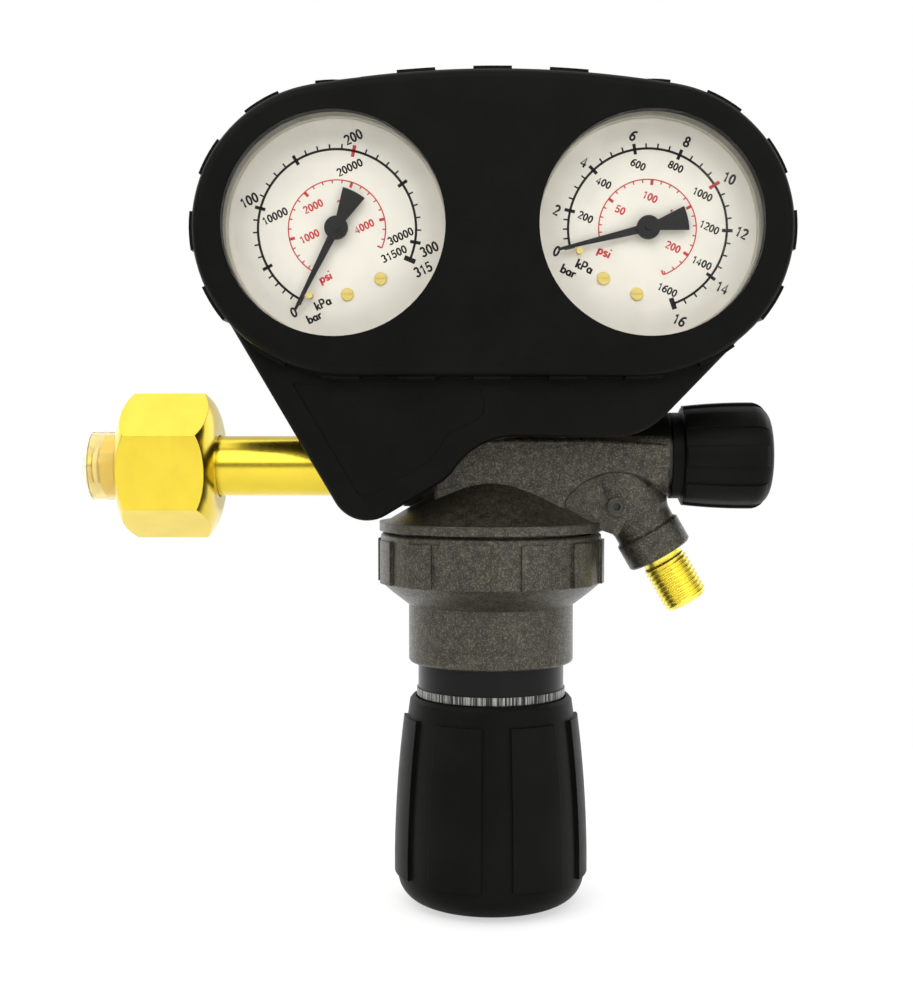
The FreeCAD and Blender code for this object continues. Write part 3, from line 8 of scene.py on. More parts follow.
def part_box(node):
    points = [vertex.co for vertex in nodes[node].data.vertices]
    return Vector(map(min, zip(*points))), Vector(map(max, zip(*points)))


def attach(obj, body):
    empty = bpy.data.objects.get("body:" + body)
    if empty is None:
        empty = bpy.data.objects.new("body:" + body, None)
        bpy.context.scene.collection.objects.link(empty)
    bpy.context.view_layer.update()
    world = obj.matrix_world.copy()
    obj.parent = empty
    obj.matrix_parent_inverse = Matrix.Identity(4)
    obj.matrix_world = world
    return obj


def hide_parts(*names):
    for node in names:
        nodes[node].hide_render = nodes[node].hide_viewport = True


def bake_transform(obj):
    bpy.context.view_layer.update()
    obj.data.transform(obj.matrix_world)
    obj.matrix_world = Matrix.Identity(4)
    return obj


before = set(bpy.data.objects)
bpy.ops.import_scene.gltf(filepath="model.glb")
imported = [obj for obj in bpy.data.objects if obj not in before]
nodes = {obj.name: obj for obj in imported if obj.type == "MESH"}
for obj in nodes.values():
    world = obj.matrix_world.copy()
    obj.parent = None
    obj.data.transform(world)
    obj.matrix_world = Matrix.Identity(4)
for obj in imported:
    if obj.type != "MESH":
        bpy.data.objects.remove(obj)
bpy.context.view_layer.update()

MM = 0.001
REACH = 115.5 * MM          # body axis, from the inlet's nose
GAUGE_OFFSET = 42.2 * MM    # each gauge's axis, from the body axis
GAUGE_HEIGHT = 65 * MM


# Finishes

class Finish:
    """A procedural material with its Principled shader and short ways to wire it."""

    def __init__(self, name, colour, roughness, metallic=0.0):
        self.material = bpy.data.materials.new(name)
        self.material.use_nodes = True
        self.tree = self.material.node_tree
        self.shader = self.tree.nodes["Principled BSDF"]
        self.set("Base Color", (*colour, 1))
        self.set("Roughness", roughness)
        self.set("Metallic", metallic)
        self.place = self.node("ShaderNodeTexCoord").outputs["Object"]
        self.worn_edge = None

    def node(self, kind, **values):
        node = self.tree.nodes.new(kind)
        for key, value in values.items():
            setattr(node, key, value)
        return node

    def set(self, socket, value):
        self.shader.inputs[socket].default_value = value

    def join(self, source, target):
        self.tree.links.new(source, target)

    def stretched(self, scale):
        """Object coordinates stretched by a different scale along each axis."""
        mapping = self.node("ShaderNodeMapping")
        mapping.inputs["Scale"].default_value = scale
        self.join(self.place, mapping.inputs["Vector"])
        return mapping.outputs["Vector"]

    def mottle(self, scale, detail=3.0, place=None):
        noise = self.node("ShaderNodeTexNoise")
        noise.inputs["Scale"].default_value = scale
        noise.inputs["Detail"].default_value = detail
        self.join(place or self.place, noise.inputs["Vector"])
        return noise.outputs["Fac"]

    def flakes(self, scale):
        """A random grey for each small cell, as metal flakes in paint have."""
        cells = self.node("ShaderNodeTexVoronoi")
        cells.inputs["Scale"].default_value = scale
        self.join(self.place, cells.inputs["Vector"])
        split = self.node("ShaderNodeSeparateColor")
        self.join(cells.outputs["Color"], split.inputs["Color"])
        return split.outputs["Red"]

    def ramp(self, source, stops):
        """Colours along source: stops are (position, colour) pairs."""
        ramp = self.node("ShaderNodeValToRGB")
        band = ramp.color_ramp
        while len(band.elements) < len(stops):
            band.elements.new(0.5)
        for element, (position, colour) in zip(band.elements, stops):
            element.position = position
            element.color = (*colour, 1)
        self.join(source, ramp.inputs["Fac"])
        return ramp.outputs["Color"]

    def spread(self, source, low, high, start=0.0, end=1.0):
        """Source between start and end becomes a value between low and high."""
        span = self.node("ShaderNodeMapRange")
        for socket, value in (("From Min", start), ("From Max", end), ("To Min", low),
                              ("To Max", high)):
            span.inputs[socket].default_value = value
        self.join(source, span.inputs["Value"])
        return span.outputs["Result"]

    def soften(self, radius):
        """Rounds sharp edges in the light by a small radius."""
        edge = self.node("ShaderNodeBevel", samples=4)
        edge.inputs["Radius"].default_value = radius
        self.worn_edge = edge.outputs["Normal"]

    def bump(self, heights, depth, strength=1.0):
        """Surface relief: heights is a list of sources, added up, over depth metres."""
        total = heights[0]
        for height in heights[1:]:
            add = self.node("ShaderNodeMath", operation="ADD")
            self.join(total, add.inputs[0])
            self.join(height, add.inputs[1])
            total = add.outputs["Value"]
        bump = self.node("ShaderNodeBump")
        bump.inputs["Distance"].default_value = depth
        bump.inputs["Strength"].default_value = strength
        self.join(total, bump.inputs["Height"])
        if self.worn_edge:
            self.join(self.worn_edge, bump.inputs["Normal"])
        self.join(bump.outputs["Normal"], self.shader.inputs["Normal"])

    def link(self, source, socket):
        self.join(source, self.shader.inputs[socket])


def hammered_paint():
    """Dark olive-grey paint with fine metal grain over a sandy casting."""
    paint = Finish("hammered_paint", (0.03, 0.028, 0.02), 0.36, 0.5)
    paint.soften(0.0005)
    grain = paint.mottle(2300, 4)
    base = paint.ramp(paint.mottle(500, 6), [
        (0.3, (0.012, 0.0115, 0.008)), (0.5, (0.024, 0.0225, 0.016)),
        (0.7, (0.044, 0.041, 0.028))])
    bright = paint.ramp(grain, [(0.0, (0, 0, 0)), (0.5, (0, 0, 0)), (0.72, (0.085, 0.075, 0.046))])
    mix = paint.node("ShaderNodeMix", data_type="RGBA", blend_type="ADD")
    mix.inputs["Factor"].default_value = 1.0
    paint.join(base, mix.inputs["A"])
    paint.join(bright, mix.inputs["B"])
    paint.link(mix.outputs["Result"], "Base Color")
    paint.link(paint.spread(grain, 0.46, 0.26, 0.3, 0.75), "Roughness")
    paint.bump([paint.mottle(1000, 5), grain], 0.0001)
    return paint.material


def moulded_black(name, shade, roughness, grain):
    """Black moulded plastic with a fine eroded grain and a few paler rubbed places."""
    plastic = Finish(name, (shade, shade, shade * 0.9), roughness)
    plastic.set("Specular IOR Level", 0.055)
    plastic.soften(0.0004)
    rubbed = plastic.mottle(60, 5)
    plastic.link(plastic.ramp(rubbed, [
        (0.35, (shade, shade, shade * 0.88)), (0.75, (shade * 1.8, shade * 1.8, shade * 1.5))]),
        "Base Color")
    plastic.link(plastic.spread(plastic.mottle(240, 4), roughness - 0.06, roughness + 0.08),
                 "Roughness")
    plastic.bump([plastic.mottle(grain, 4)], 0.00005)
    return plastic.material


def polished_brass(name, colour, roughness, along=None):
    """Turned and polished brass with faint tool lines and a slight tarnish."""
    brass = Finish(name, colour, roughness, 1.0)
    brass.soften(0.0003)
    dull = tuple(channel * 0.9 for channel in colour)
    brass.link(brass.ramp(brass.mottle(110, 5), [(0.3, dull), (0.62, colour)]), "Base Color")
    lines = brass.mottle(1.0, 2, brass.stretched(along or (5000, 300, 300)))
    brass.link(brass.spread(lines, roughness - 0.05, roughness + 0.08), "Roughness")
    brass.bump([lines], 0.000004)
    return brass.material


def worn_steel(name, colour, roughness):
    steel = Finish(name, colour, roughness, 1.0)
    steel.link(steel.spread(steel.mottle(700, 4), roughness - 0.08, roughness + 0.1),
               "Roughness")
    steel.bump([steel.mottle(2500, 3)], 0.00001)
    return steel.material


def plain_coat(name, colour, roughness, scale=1500, depth=0.00001, gloss=0.5):
    """Painted or printed coat with a faint unevenness."""
    coat = Finish(name, colour, roughness)
    coat.set("Specular IOR Level", gloss)
    low = tuple(channel * 0.93 for channel in colour)
    coat.link(coat.ramp(coat.mottle(scale * 0.1, 4), [(0.3, low), (0.7, colour)]), "Base Color")
    coat.link(coat.spread(coat.mottle(scale, 3), roughness - 0.05, roughness + 0.05),
              "Roughness")
    coat.bump([coat.mottle(scale, 3)], depth)
    return coat.material


def ribbed_ring():
    """Grey zinc ring with fine upright knurl ridges round it, and painted shade in the grooves
    between them.
    """
    ring = Finish("ribbed_ring", (0.16, 0.16, 0.15), 0.4, 0.6)
    marks = ring.mottle(1.0, 2, ring.stretched((2600, 2600, 30)))
    # The colour goes near-black where the ridges' bump is low: painted shade in the knurl's grooves
    # over the ring's grey.
    ring.link(ring.ramp(marks, [(0.47, (0.008, 0.008, 0.007)), (0.55, (0.26, 0.26, 0.24))]),
              "Base Color")
    ring.bump([marks], 0.0001)
    return ring.material


def cap_plastic():
    """Clear yellowish plastic that shows the brass behind it, a little cloudy."""
    cap = Finish("cap_plastic", (0.96, 0.86, 0.5), 0.12)
    cap.set("Transmission Weight", 0.9)
    cap.set("IOR", 1.3)
    cap.link(cap.spread(cap.mottle(300, 4), 0.08, 0.25), "Roughness")
    cap.bump([cap.mottle(500, 3)], 0.00003)
    return cap.material


def clear_window():
    """Clear window: light passes straight through, and a faint gloss lies on it."""
    window = Finish("clear_window", (1, 1, 1), 0.04)
    clear = window.node("ShaderNodeBsdfTransparent")
    clear.inputs["Color"].default_value = (0.985, 0.985, 0.975, 1)
    gloss = window.node("ShaderNodeBsdfGlossy")
    window.join(window.spread(window.mottle(90, 3), 0.02, 0.06), gloss.inputs["Roughness"])
    rim = window.node("ShaderNodeFresnel")
    rim.inputs["IOR"].default_value = 1.25
    mix = window.node("ShaderNodeMixShader")
    window.join(rim.outputs["Fac"], mix.inputs["Fac"])
    window.join(clear.outputs["BSDF"], mix.inputs[1])
    window.join(gloss.outputs["BSDF"], mix.inputs[2])
    window.join(mix.outputs["Shader"], window.tree.nodes["Material Output"].inputs["Surface"])
    return window.material


paint = hammered_paint()
shroud_plastic = moulded_black("shroud_plastic", 0.0018, 0.4, 2600)
knob_plastic = moulded_black("knob_plastic", 0.0022, 0.42, 2200)
brass = polished_brass("polished_brass", (0.62, 0.475, 0.045), 0.2)
thread_brass = polished_brass("thread_brass", (0.82, 0.7, 0.11), 0.28, (900, 900, 900))
screw_brass = plain_coat("screw_brass", (0.76, 0.60, 0.16), 0.35)
dark_steel = worn_steel("dark_steel", (0.05, 0.05, 0.045), 0.4)
bronze = polished_brass("bronze", (0.62, 0.4, 0.18), 0.32)
steel = worn_steel("worn_steel", (0.5, 0.51, 0.53), 0.35)
light_alloy = worn_steel("light_alloy", (0.75, 0.75, 0.77), 0.3)
black_rubber = plain_coat("black_rubber", (0.02, 0.02, 0.02), 0.6)
band_gloss = plain_coat("band_gloss", (0.003, 0.003, 0.003), 0.3, 600, 0.000004, 0.12)
ring_grey = ribbed_ring()
dial_card = plain_coat("dial_card", (0.82, 0.785, 0.715), 0.5)
nylon = plain_coat("nylon", (0.86, 0.80, 0.58), 0.35)
case_cream = plain_coat("case_cream", (0.80, 0.77, 0.66), 0.3)
print_black = plain_coat("print_black", (0.008, 0.007, 0.007), 0.55, gloss=0.2)
print_red = plain_coat("print_red", (0.55, 0.02, 0.025), 0.55)
pointer_black = plain_coat("pointer_black", (0.008, 0.008, 0.008), 0.4, gloss=0.25)
cap_clear = cap_plastic()
window = clear_window()


def coat(material, *names):
    """Give CAD nodes a finish."""
    for name in names:
        slots = nodes[name].material_slots
        if not slots:
            nodes[name].data.materials.append(material)
        for slot in slots:
            slot.material = material


coat(paint, "regulator_body", "bonnet")
coat(shroud_plastic, "gauge_shroud", "shroud_back")
coat(knob_plastic, "pressure_knob", "outlet_valve_knob")
coat(brass, "inlet_stem", "inlet_nut", "nut_slip_ring", "slip_ring", "seat_capsule",
     "valve_poppet", "outlet_valve_plug", "outlet_valve_spindle",
     "relief_housing", "relief_piston")
coat(steel, "poppet_spring", "main_spring", "spring_button", "adjusting_screw",
     "back_screws", "relief_spring")
coat(dark_steel, "body_screw", "outlet_valve_gland")
coat(light_alloy, "diaphragm_plate")
coat(bronze, "inlet_filter")
coat(black_rubber, "diaphragm")
coat(nylon, "inlet_seal")
coat(band_gloss, "gas_band")
coat(ring_grey, "neck_ring")
coat(cap_clear, "inlet_cap")
coat(thread_brass, "outlet_nipple")
for side in ("high", "low"):
    coat(case_cream, f"{side}_gauge_case")
    coat(brass, f"{side}_gauge_stem", f"{side}_movement")
    coat(bronze, f"{side}_bourdon_tube")
    coat(dial_card, f"{side}_dial")
    coat(screw_brass, f"{side}_dial_screws")
    coat(screw_brass, f"{side}_stop_pin")
    coat(pointer_black, f"{side}_pointer")
    coat(window, f"{side}_lens")


# New pieces

def finished(name, mesh_maker, material, body, smooth=False):
    """Turn a bmesh into a piece that rides on a body."""
    mesh = bpy.data.meshes.new(name)
    mesh_maker.to_mesh(mesh)
    mesh_maker.free()
    for face in mesh.polygons:
        face.use_smooth = smooth
    piece = bpy.data.objects.new(name, mesh)
    bpy.context.scene.collection.objects.link(piece)
    mesh.materials.append(material)
    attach(piece, body)
    return piece


# Printing on the dials: flat on the dial, X right and Y up, in millimetres

INK = 0.03          # thickness of the print
FACE = 21.0         # front of the dial card, ahead of the gauge's plane
BAR_RING = 21.55    # radius of the black ring of the bar scale
PSI_RING = 13.25    # radius of the red ring of the psi scale


def gauge_frame(side):
    """From a dial's own millimetres to the row's metres. Side is -1 at the left, 1 at the right."""
    turn = Matrix.Rotation(math.radians(90), 4, "X")
    place = Vector((REACH + side * GAUGE_OFFSET, 0, GAUGE_HEIGHT))
    return Matrix.Translation(place) @ turn @ Matrix.Scale(MM, 4)


class Ink:
    """One colour of print: flat lines that get a thickness, and drawn letters."""

    def __init__(self):
        self.lines = bmesh.new()
        self.letters = bmesh.new()


def ink_tick(ink, angle, start, end, width):
    """One radial tick between two radii."""
    place = (Matrix.Rotation(math.radians(angle), 4, "Z")
             @ Matrix.Translation(((start + end) / 2, 0, FACE))
             @ Matrix.Diagonal((end - start, width, 1, 1)))
    bmesh.ops.create_grid(ink.lines, x_segments=1, y_segments=1, size=0.5, matrix=place)


def ink_arc(ink, start, end, radius, width):
    """A round line from angle start to angle end."""
    lines = ink.lines
    edge = bmesh.ops.create_vert(lines, co=(radius - width / 2, 0, FACE))["vert"]
    edge += bmesh.ops.create_vert(lines, co=(radius + width / 2, 0, FACE))["vert"]
    bmesh.ops.rotate(lines, verts=edge, cent=(0, 0, 0),
                     matrix=Matrix.Rotation(math.radians(start), 3, "Z"))
    across = lines.edges.new(edge)
    bmesh.ops.spin(lines, geom=[*edge, across], cent=(0, 0, 0), axis=(0, 0, 1),
                   angle=math.radians(end - start), steps=72, use_duplicate=False)


def bow(across, up, wide, high, start, end):
    """Points of an oval stretch of a letter between two angles in degrees."""
    steps = max(4, round(abs(end - start) / 18))
    turns = [math.radians(start + (end - start) * step / steps) for step in range(steps + 1)]
    return [(across + wide * math.cos(turn), up + high * math.sin(turn)) for turn in turns]


def loop(across, up, wide, high):
    return bow(across, up, wide, high, 0, 360)


# Strokes of each letter for a capital height of one, and its width
LETTERS = {
    "0": (0.62, [loop(0.31, 0.5, 0.2, 0.43)]),
    "1": (0.6, [[(0.13, 0.73), (0.26, 0.8), (0.34, 0.92), (0.34, 0.0)]]),
    "2": (0.62, [bow(0.3, 0.69, 0.2, 0.24, 165, -32) + [(0.11, 0.07), (0.55, 0.07)]]),
    "3": (0.62, [bow(0.29, 0.71, 0.18, 0.22, 155, -90), bow(0.29, 0.28, 0.21, 0.21, 90, -155)]),
    "4": (0.62, [[(0.56, 0.28), (0.06, 0.28), (0.4, 0.93), (0.4, 0.0)]]),
    "5": (0.62, [[(0.52, 0.93), (0.17, 0.93), (0.12, 0.5)]
                 + bow(0.3, 0.33, 0.21, 0.26, 128, -155)]),
    "6": (0.62, [loop(0.32, 0.31, 0.2, 0.24), bow(0.5, 0.34, 0.38, 0.59, 78, 180)]),
    "8": (0.62, [loop(0.31, 0.71, 0.17, 0.22), loop(0.31, 0.27, 0.21, 0.21)]),
    "a": (0.57, [loop(0.27, 0.31, 0.18, 0.24), [(0.46, 0.58), (0.46, 0.0)]]),
    "b": (0.57, [loop(0.3, 0.31, 0.18, 0.24), [(0.11, 0.98), (0.11, 0.0)]]),
    "i": (0.23, [[(0.11, 0.6), (0.11, 0.0)], [(0.11, 0.84), (0.11, 0.98)]]),
    "k": (0.5, [[(0.11, 0.98), (0.11, 0.0)], [(0.45, 0.58), (0.12, 0.24)],
                [(0.22, 0.33), (0.47, 0.0)]]),
    "p": (0.57, [loop(0.3, 0.31, 0.18, 0.24), [(0.11, 0.58), (0.11, -0.26)]]),
    "P": (0.64, [[(0.13, 0.0), (0.13, 0.93), (0.34, 0.93)] + bow(0.34, 0.69, 0.19, 0.24, 80, -80)
                 + [(0.34, 0.45), (0.14, 0.45)]]),
    "r": (0.36, [[(0.11, 0.6), (0.11, 0.0)], bow(0.3, 0.34, 0.19, 0.2, 160, 65)]),
    "s": (0.5, [bow(0.25, 0.43, 0.14, 0.12, 25, 250) + bow(0.25, 0.18, 0.16, 0.12, 70, -155)]),
}
PEN = 0.1


def ink_words(ink, words, across, up, height, turn, stretch=1.1):
    """Words centred at across, up; height is that of a capital letter."""
    pen = bpy.data.curves.new("words", "CURVE")
    pen.dimensions = "3D"
    pen.bevel_depth = PEN
    pen.bevel_resolution = 1
    pen.use_fill_caps = True
    edge = -sum(LETTERS[letter][0] for letter in words) / 2
    for letter in words:
        width, strokes = LETTERS[letter]
        for stroke in strokes:
            closed = math.dist(stroke[0], stroke[-1]) < 0.001
            points = stroke[:-1] if closed else stroke
            line = pen.splines.new("POLY")
            line.use_cyclic_u = closed
            line.points.add(len(points) - 1)
            for point, (right, rise) in zip(line.points, points):
                point.co = (edge + right, rise - 0.5, 0, 1)
        edge += width
    holder = bpy.data.objects.new("words", pen)
    mesh = bpy.data.meshes.new_from_object(holder)
    mesh.transform(Matrix.Translation((across, up, FACE + INK / 2))
                   @ Matrix.Rotation(math.radians(turn), 4, "Z")
                   @ Matrix.Diagonal((stretch * height, height, INK / PEN, 1)))
    ink.letters.from_mesh(mesh)
    bpy.data.objects.remove(holder)
    bpy.data.curves.remove(pen)
    bpy.data.meshes.remove(mesh)


def printed(name, ink, material, side):
    """Give the lines their thickness, add the letters and put the ink on the dial."""
    lines = ink.lines
    bmesh.ops.remove_doubles(lines, verts=lines.verts, dist=0.001)
    bmesh.ops.recalc_face_normals(lines, faces=lines.faces)
    for face in lines.faces:
        if face.normal.z < 0:
            face.normal_flip()
    raised = bmesh.ops.extrude_face_region(lines, geom=lines.faces[:])["geom"]
    bmesh.ops.translate(lines, vec=(0, 0, INK),
                        verts=[item for item in raised if isinstance(item, bmesh.types.BMVert)])
    bmesh.ops.recalc_face_normals(lines, faces=lines.faces)
    letters = bpy.data.meshes.new("letters")
    ink.letters.to_mesh(letters)
    ink.letters.free()
    lines.from_mesh(letters)
    bpy.data.meshes.remove(letters)
    bmesh.ops.transform(lines, matrix=gauge_frame(side), verts=lines.verts)
    return finished(name, lines, material, "regulator")


def along_scale(marks, value):
    """Angle on a dial for a value, from its list of (value, angle) marks."""
    for (low, low_angle), (high, high_angle) in zip(marks, marks[1:]):
        if value <= high + 1e-6:
            return low_angle + (value - low) / (high - low) * (high_angle - low_angle)
    return marks[-1][1]


# Marks of each dial: (bar, angle in degrees from the right, anticlockwise)
HIGH_MARKS = [(0, 243.0), (50, 208.7), (100, 165.0), (150, 121.0), (200, 77.7), (250, 34.4),
            (300, -9.7), (315, -22.8)]
LOW_MARKS = [(0, 193.6), (2, 167.1), (4, 133.1), (6, 99.5), (8, 66.5), (10, 32.8), (12, -1.6),
            (14, -37.0), (16, -70.9)]
BAR_PER_PSI = 0.0689476


def print_scale(black, red, marks, red_mark, bar_step, psi_step, psi_bold):
    """The outer scale in bar, and the inner scale in psi."""
    top = marks[-1][0]
    start, end = marks[0][1], marks[-1][1]
    ink_arc(black, start, end, BAR_RING, 0.66)
    for count in range(1, int(top / bar_step + 0.01)):
        value = count * bar_step
        if all(abs(value - mark) > 1e-6 for mark, _ in marks):
            ink_tick(black, along_scale(marks, value), BAR_RING + 0.05, 22.95, 0.44)
    for value, angle in marks[1:-1]:
        if value == red_mark:
            ink_tick(red, angle, 19.9, 23.1, 0.95)
        else:
            ink_tick(black, angle, 20.2, 23.1, 0.9)
    ink_tick(black, end, 19.9, 23.1, 1.35)
    ink_tick(black, start, 20.3, 23.1, 0.9)
    ink_arc(red, start, end, PSI_RING, 0.34)
    for count in range(int(top / BAR_PER_PSI / psi_step) + 1):
        value = count * psi_step
        bold = value % psi_bold == 0 and value > 0
        inner, width = (11.75, 0.8) if bold else (12.35, 0.34)
        ink_tick(red, along_scale(marks, value * BAR_PER_PSI), inner, PSI_RING - 0.05, width)
    ink_tick(red, end, 11.9, PSI_RING - 0.05, 0.45)


def print_high_pressure_dial():
    black, red = Ink(), Ink()
    print_scale(black, red, HIGH_MARKS, 200, 10, 200, 1000)
    for words, across, up in (("0", -11.9, -22.6), ("100", -23.9, 7.8), ("200", 4.5, 24.8),
                              ("300", 25.1, -5.5), ("315", 23.4, -11.0)):
        ink_words(black, words, across, up, 2.8, 25, 1.0)
    for words, across, up in (("10000", -16.9, 3.5), ("20000", 3.5, 16.6),
                              ("30000", 17.3, -2.0), ("31500", 15.5, -6.8)):
        ink_words(black, words, across, up, 2.2, 25, 1.1)
    for words, across, up in (("kPa", -4.0, -20.1), ("bar", -6.4, -23.9)):
        ink_words(black, words, across, up, 2.5, 25)
    for words, across, up in (("1000", -7.5, -2.0), ("2000", -6.5, 6.1), ("3000", 2.8, 7.7),
                              ("4000", 7.4, 0.7)):
        ink_words(red, words, across, up, 2.1, 25)
    ink_words(red, "psi", -3.3, -13.0, 2.5, 25)
    printed("high_dial_black_print", black, print_black, -1)
    printed("high_dial_red_print", red, print_red, -1)


def print_low_pressure_dial():
    black, red = Ink(), Ink()
    print_scale(black, red, LOW_MARKS, 10, 0.5, 10, 50)
    for words, across, up in (("0", -24.6, -6.1), ("2", -24.6, 5.0), ("4", -17.2, 17.9),
                              ("6", -4.0, 25.0), ("8", 10.6, 23.3), ("10", 22.1, 13.5),
                              ("12", 25.6, -1.2), ("14", 20.4, -16.0), ("16", 8.8, -24.8)):
        ink_words(black, words, across, up, 2.9, -25, 1.0)
    for words, across, up in (("200", -16.8, 3.1), ("400", -11.9, 12.3), ("600", -2.6, 17.2),
                              ("800", 7.6, 16.6), ("1000", 14.9, 9.2), ("1200", 16.8, 0.3),
                              ("1400", 14.8, -9.3), ("1600", 5.5, -16.6)):
        ink_words(black, words, across, up, 2.1, -25)
    for words, across, up in (("kPa", -17.0, -10.2), ("bar", -21.4, -11.4)):
        ink_words(black, words, across, up, 2.6, -25)
    for words, across, up in (("50", -7.4, 5.0), ("100", 0.7, 8.5), ("150", 7.6, 3.6),
                              ("200", 7.0, -5.0)):
        ink_words(red, words, across, up, 2.1, -25)
    ink_words(red, "psi", -11.6, -6.2, 2.6, -25)
    printed("low_dial_black_print", black, print_black, 1)
    printed("low_dial_red_print", red, print_red, 1)


print_high_pressure_dial()
print_low_pressure_dial()


# The outlet's thread, along its own axis from the collar

OUTLET_X = 32.3     # where the outlet's axis starts, from the body axis
OUTLET_Z = 3.0
OUTLET_TURN = 150   # degrees from upright, in the plane of the body
BORE, NECK = 4.0, 5.88
THREAD_STEPS = 56   # faces round the thread


def outlet_frame():
    turn = Matrix.Rotation(math.radians(OUTLET_TURN), 4, "Y")
    place = Vector((REACH + OUTLET_X * MM, 0, OUTLET_Z * MM))
    return Matrix.Translation(place) @ turn @ Matrix.Scale(MM, 4)


def outlet_thread():
    """Brass nipple with a real rounded thread, a plain neck and a bored end."""
    pitch, crest, root = 1.337, 6.58, 5.85
    inside, start, end = 22.9, 34.7, 48.2
    skin = bmesh.new()
    profile = [(root, 0.0), (root + 0.1, 0.12), (crest - 0.1, 0.52), (crest, 0.62),
               (crest, 0.72), (crest - 0.1, 0.82), (root + 0.1, 1.22), (root, pitch)]
    points = [skin.verts.new((radius, 0, start - pitch + along)) for radius, along in profile]
    lines = [skin.edges.new(pair) for pair in zip(points, points[1:])]
    turns = int((end - start) / pitch) + 2
    steps = THREAD_STEPS * turns
    bmesh.ops.spin(skin, geom=points + lines, cent=(0, 0, 0), axis=(0, 0, 1),
                   dvec=(0, 0, pitch / THREAD_STEPS), angle=math.tau * turns, steps=steps)
    bmesh.ops.remove_doubles(skin, verts=skin.verts, dist=0.004)
    for height, up in ((start + 0.15, -1), (end - 0.05, 1)):
        bmesh.ops.bisect_plane(skin, geom=skin.verts[:] + skin.edges[:] + skin.faces[:],
                               plane_co=(0, 0, height), plane_no=(0, 0, up), clear_outer=True)
    for vert in skin.verts:
        limit = min(crest, root - 0.25 + max(end - vert.co.z, 0) * 0.75,
                    root + (vert.co.z - start) * 1.4)
        reach = math.hypot(vert.co.x, vert.co.y)
        if reach > limit:
            vert.co.x *= limit / reach
            vert.co.y *= limit / reach
    core = [(BORE, inside), (NECK, inside), (NECK, start + 0.1), (root - 0.3, start + 0.3),
            (root - 0.3, end - 0.35), (5.2, end), (4.9, end), (BORE, end - 0.9)]
    ring = [skin.verts.new((radius, 0, along)) for radius, along in core]
    lines = [skin.edges.new(pair) for pair in zip(ring, ring[1:] + ring[:1])]
    bmesh.ops.spin(skin, geom=ring + lines, cent=(0, 0, 0), axis=(0, 0, 1), angle=math.tau,
                   steps=THREAD_STEPS, use_merge=True)
    bmesh.ops.remove_doubles(skin, verts=skin.verts, dist=0.002)
    bmesh.ops.recalc_face_normals(skin, faces=skin.faces)
    bmesh.ops.transform(skin, matrix=outlet_frame(), verts=skin.verts)
    piece = finished("outlet_thread", skin, thread_brass, "regulator", smooth=True)
    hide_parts("outlet_nipple")


outlet_thread()


# Springs: smooth copies that take the place of the imported coils

def pressed_spring(name, axis):
    """A smooth copy of a spring that takes the place of the imported one; axis, 1 for Y and 2 for
    Z, gives the length along which its ends are found.
    """
    node = nodes[name]
    low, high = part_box(name)
    coil = bmesh.new()
    coil.from_mesh(node.data)
    bmesh.ops.transform(coil, matrix=node.matrix_world, verts=coil.verts)
    bmesh.ops.remove_doubles(coil, verts=coil.verts, dist=0.001 * MM)
    mesh = bpy.data.meshes.new(f"pressed_{name}")
    coil.to_mesh(mesh)
    coil.free()
    for face in mesh.polygons:
        face.use_smooth = True
    mesh.set_sharp_from_angle(angle=math.radians(40))
    mesh.materials.append(steel)
    piece = bpy.data.objects.new(f"pressed_{name}", mesh)
    bpy.context.scene.collection.objects.link(piece)
    held = (Vector(low) + Vector(high)) / 2
    pressed = held.copy()
    held[axis], pressed[axis] = high[axis], low[axis]
    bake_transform(piece)
    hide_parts(name)


pressed_spring("main_spring", 2)
pressed_spring("poppet_spring", 2)
pressed_spring("relief_spring", 1)


# Stage, lamps and camera

FLOOR = -126.0 * MM
# The camera's lens and aim, in the photograph's pixels
FOCAL_PIXELS = 1568
DOWN_PIXELS = 70
LEFT_PIXELS = 18.5


def floor():
    """Pale floor that keeps the soft shadow and runs out to white."""
    sheet = bmesh.new()
    bmesh.ops.create_grid(sheet, x_segments=2, y_segments=2, size=6.0,
                          matrix=Matrix.Translation((REACH, 0, FLOOR)))
    mesh = bpy.data.meshes.new("floor")
    sheet.to_mesh(mesh)
    sheet.free()
    ground = bpy.data.objects.new("floor", mesh)
    bpy.context.scene.collection.objects.link(ground)
    finish = Finish("floor_white", (0.92, 0.92, 0.92), 0.8)
    glow = finish.node("ShaderNodeEmission")
    seen = finish.node("ShaderNodeLightPath")
    share = finish.node("ShaderNodeMath", operation="MULTIPLY")
    away = finish.node("ShaderNodeVectorMath", operation="DISTANCE")
    finish.join(finish.place, away.inputs[0])
    away.inputs[1].default_value = (REACH, 0, FLOOR)
    finish.join(finish.spread(away.outputs["Value"], 0.55, 1.0, 0.03, 0.3), share.inputs[1])
    finish.join(seen.outputs["Is Camera Ray"], share.inputs[0])
    mix = finish.node("ShaderNodeMixShader")
    finish.join(share.outputs["Value"], mix.inputs["Fac"])
    finish.join(finish.shader.outputs["BSDF"], mix.inputs[1])
    finish.join(glow.outputs["Emission"], mix.inputs[2])
    finish.join(mix.outputs["Shader"], finish.tree.nodes["Material Output"].inputs["Surface"])
    mesh.materials.append(finish.material)


def softbox(name, place, size, power, aim=(REACH, 0, 0)):
    """A large soft lamp that looks at aim."""
    lamp = bpy.data.lights.new(name, "AREA")
    lamp.shape = "RECTANGLE"
    lamp.size, lamp.size_y = size
    lamp.energy = power
    holder = bpy.data.objects.new(name, lamp)
    holder.location = place
    holder.rotation_euler = (Vector(aim) - Vector(place)).to_track_quat("-Z", "Y").to_euler()
    bpy.context.scene.collection.objects.link(holder)


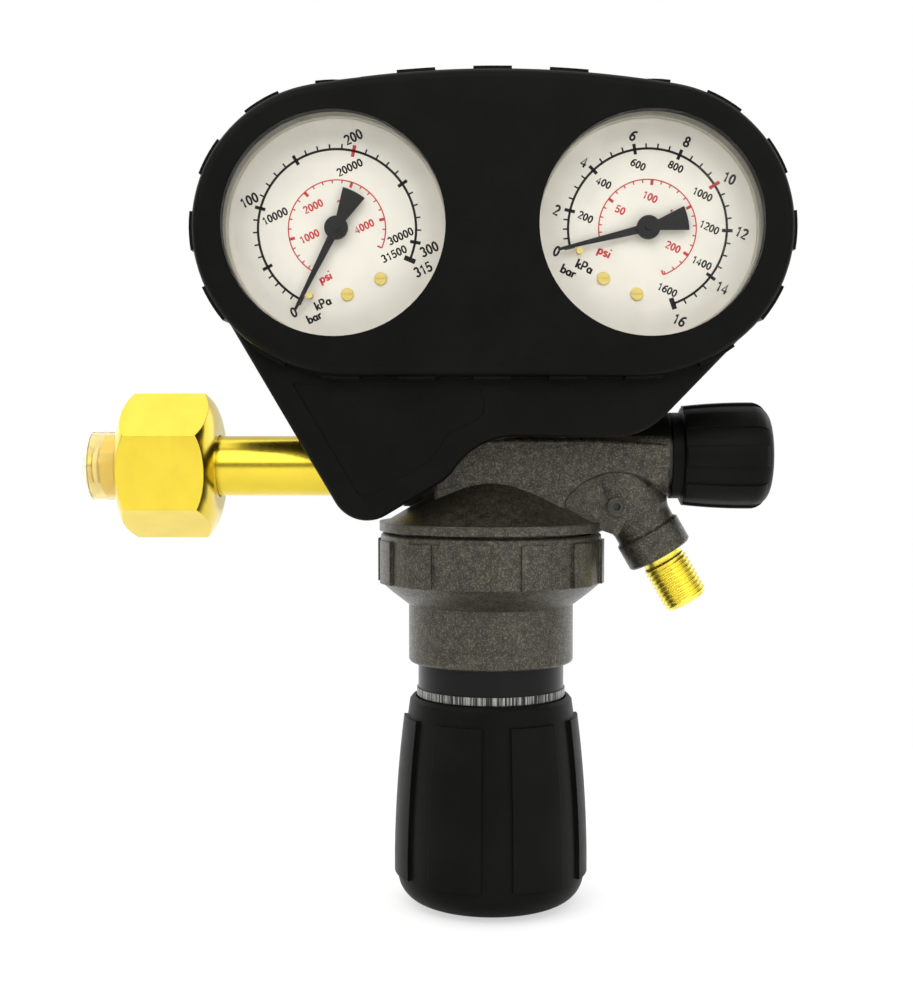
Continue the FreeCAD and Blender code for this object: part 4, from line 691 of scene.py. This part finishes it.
def studio():
    """White surroundings that darken towards the viewer's side, and large soft lamps."""
    world = bpy.data.worlds.new("studio")
    bpy.context.scene.world = world
    world.use_nodes = True
    tree = world.node_tree
    back = tree.nodes["Background"]
    back.inputs["Color"].default_value = (1, 1, 1, 1)
    path = tree.nodes.new("ShaderNodeLightPath")
    best = tree.nodes.new("ShaderNodeMath")
    best.operation = "MAXIMUM"
    tree.links.new(path.outputs["Is Camera Ray"], best.inputs[0])
    tree.links.new(path.outputs["Is Transmission Ray"], best.inputs[1])
    way = tree.nodes.new("ShaderNodeTexCoord")
    split = tree.nodes.new("ShaderNodeSeparateXYZ")
    tree.links.new(way.outputs["Generated"], split.inputs["Vector"])
    room = tree.nodes.new("ShaderNodeMapRange")
    for socket, value in (("From Min", -0.95), ("From Max", -0.2), ("To Min", 0.35),
                          ("To Max", 0.88)):
        room.inputs[socket].default_value = value
    tree.links.new(split.outputs["Y"], room.inputs["Value"])
    level = tree.nodes.new("ShaderNodeMix")
    tree.links.new(best.outputs["Value"], level.inputs["Factor"])
    tree.links.new(room.outputs["Result"], level.inputs["A"])
    level.inputs["B"].default_value = 1.0
    tree.links.new(level.outputs["Result"], back.inputs["Strength"])
    softbox("key", (-0.35, -0.95, 0.8), (1.7, 1.1), 15)
    softbox("fill", (0.8, -0.9, 0.4), (1.2, 1.0), 6)
    softbox("top", (0.12, 0.1, 1.0), (1.6, 0.9), 5)
    softbox("back_left", (-0.6, 0.7, 0.3), (0.8, 1.2), 3)
    softbox("back_right", (0.85, 0.7, 0.2), (0.8, 1.2), 3)


def camera():
    """The photograph's view: level with the nozzle, 450 mm from the body's axis."""
    lens = bpy.data.cameras.new("camera")
    lens.sensor_width = 36
    lens.lens = 56.4
    lens.clip_start = 0.01
    holder = bpy.data.objects.new("camera", lens)
    holder.location = (REACH - 4.6 * MM, -450 * MM, 10.3 * MM)
    down = math.atan(DOWN_PIXELS / FOCAL_PIXELS)
    left = math.atan(LEFT_PIXELS / FOCAL_PIXELS)
    holder.rotation_euler = (math.pi / 2 - down, 0, left)
    bpy.context.scene.collection.objects.link(holder)
    bpy.context.scene.camera = holder


floor()
studio()
camera()
bpy.context.scene.view_settings.view_transform = "Standard"
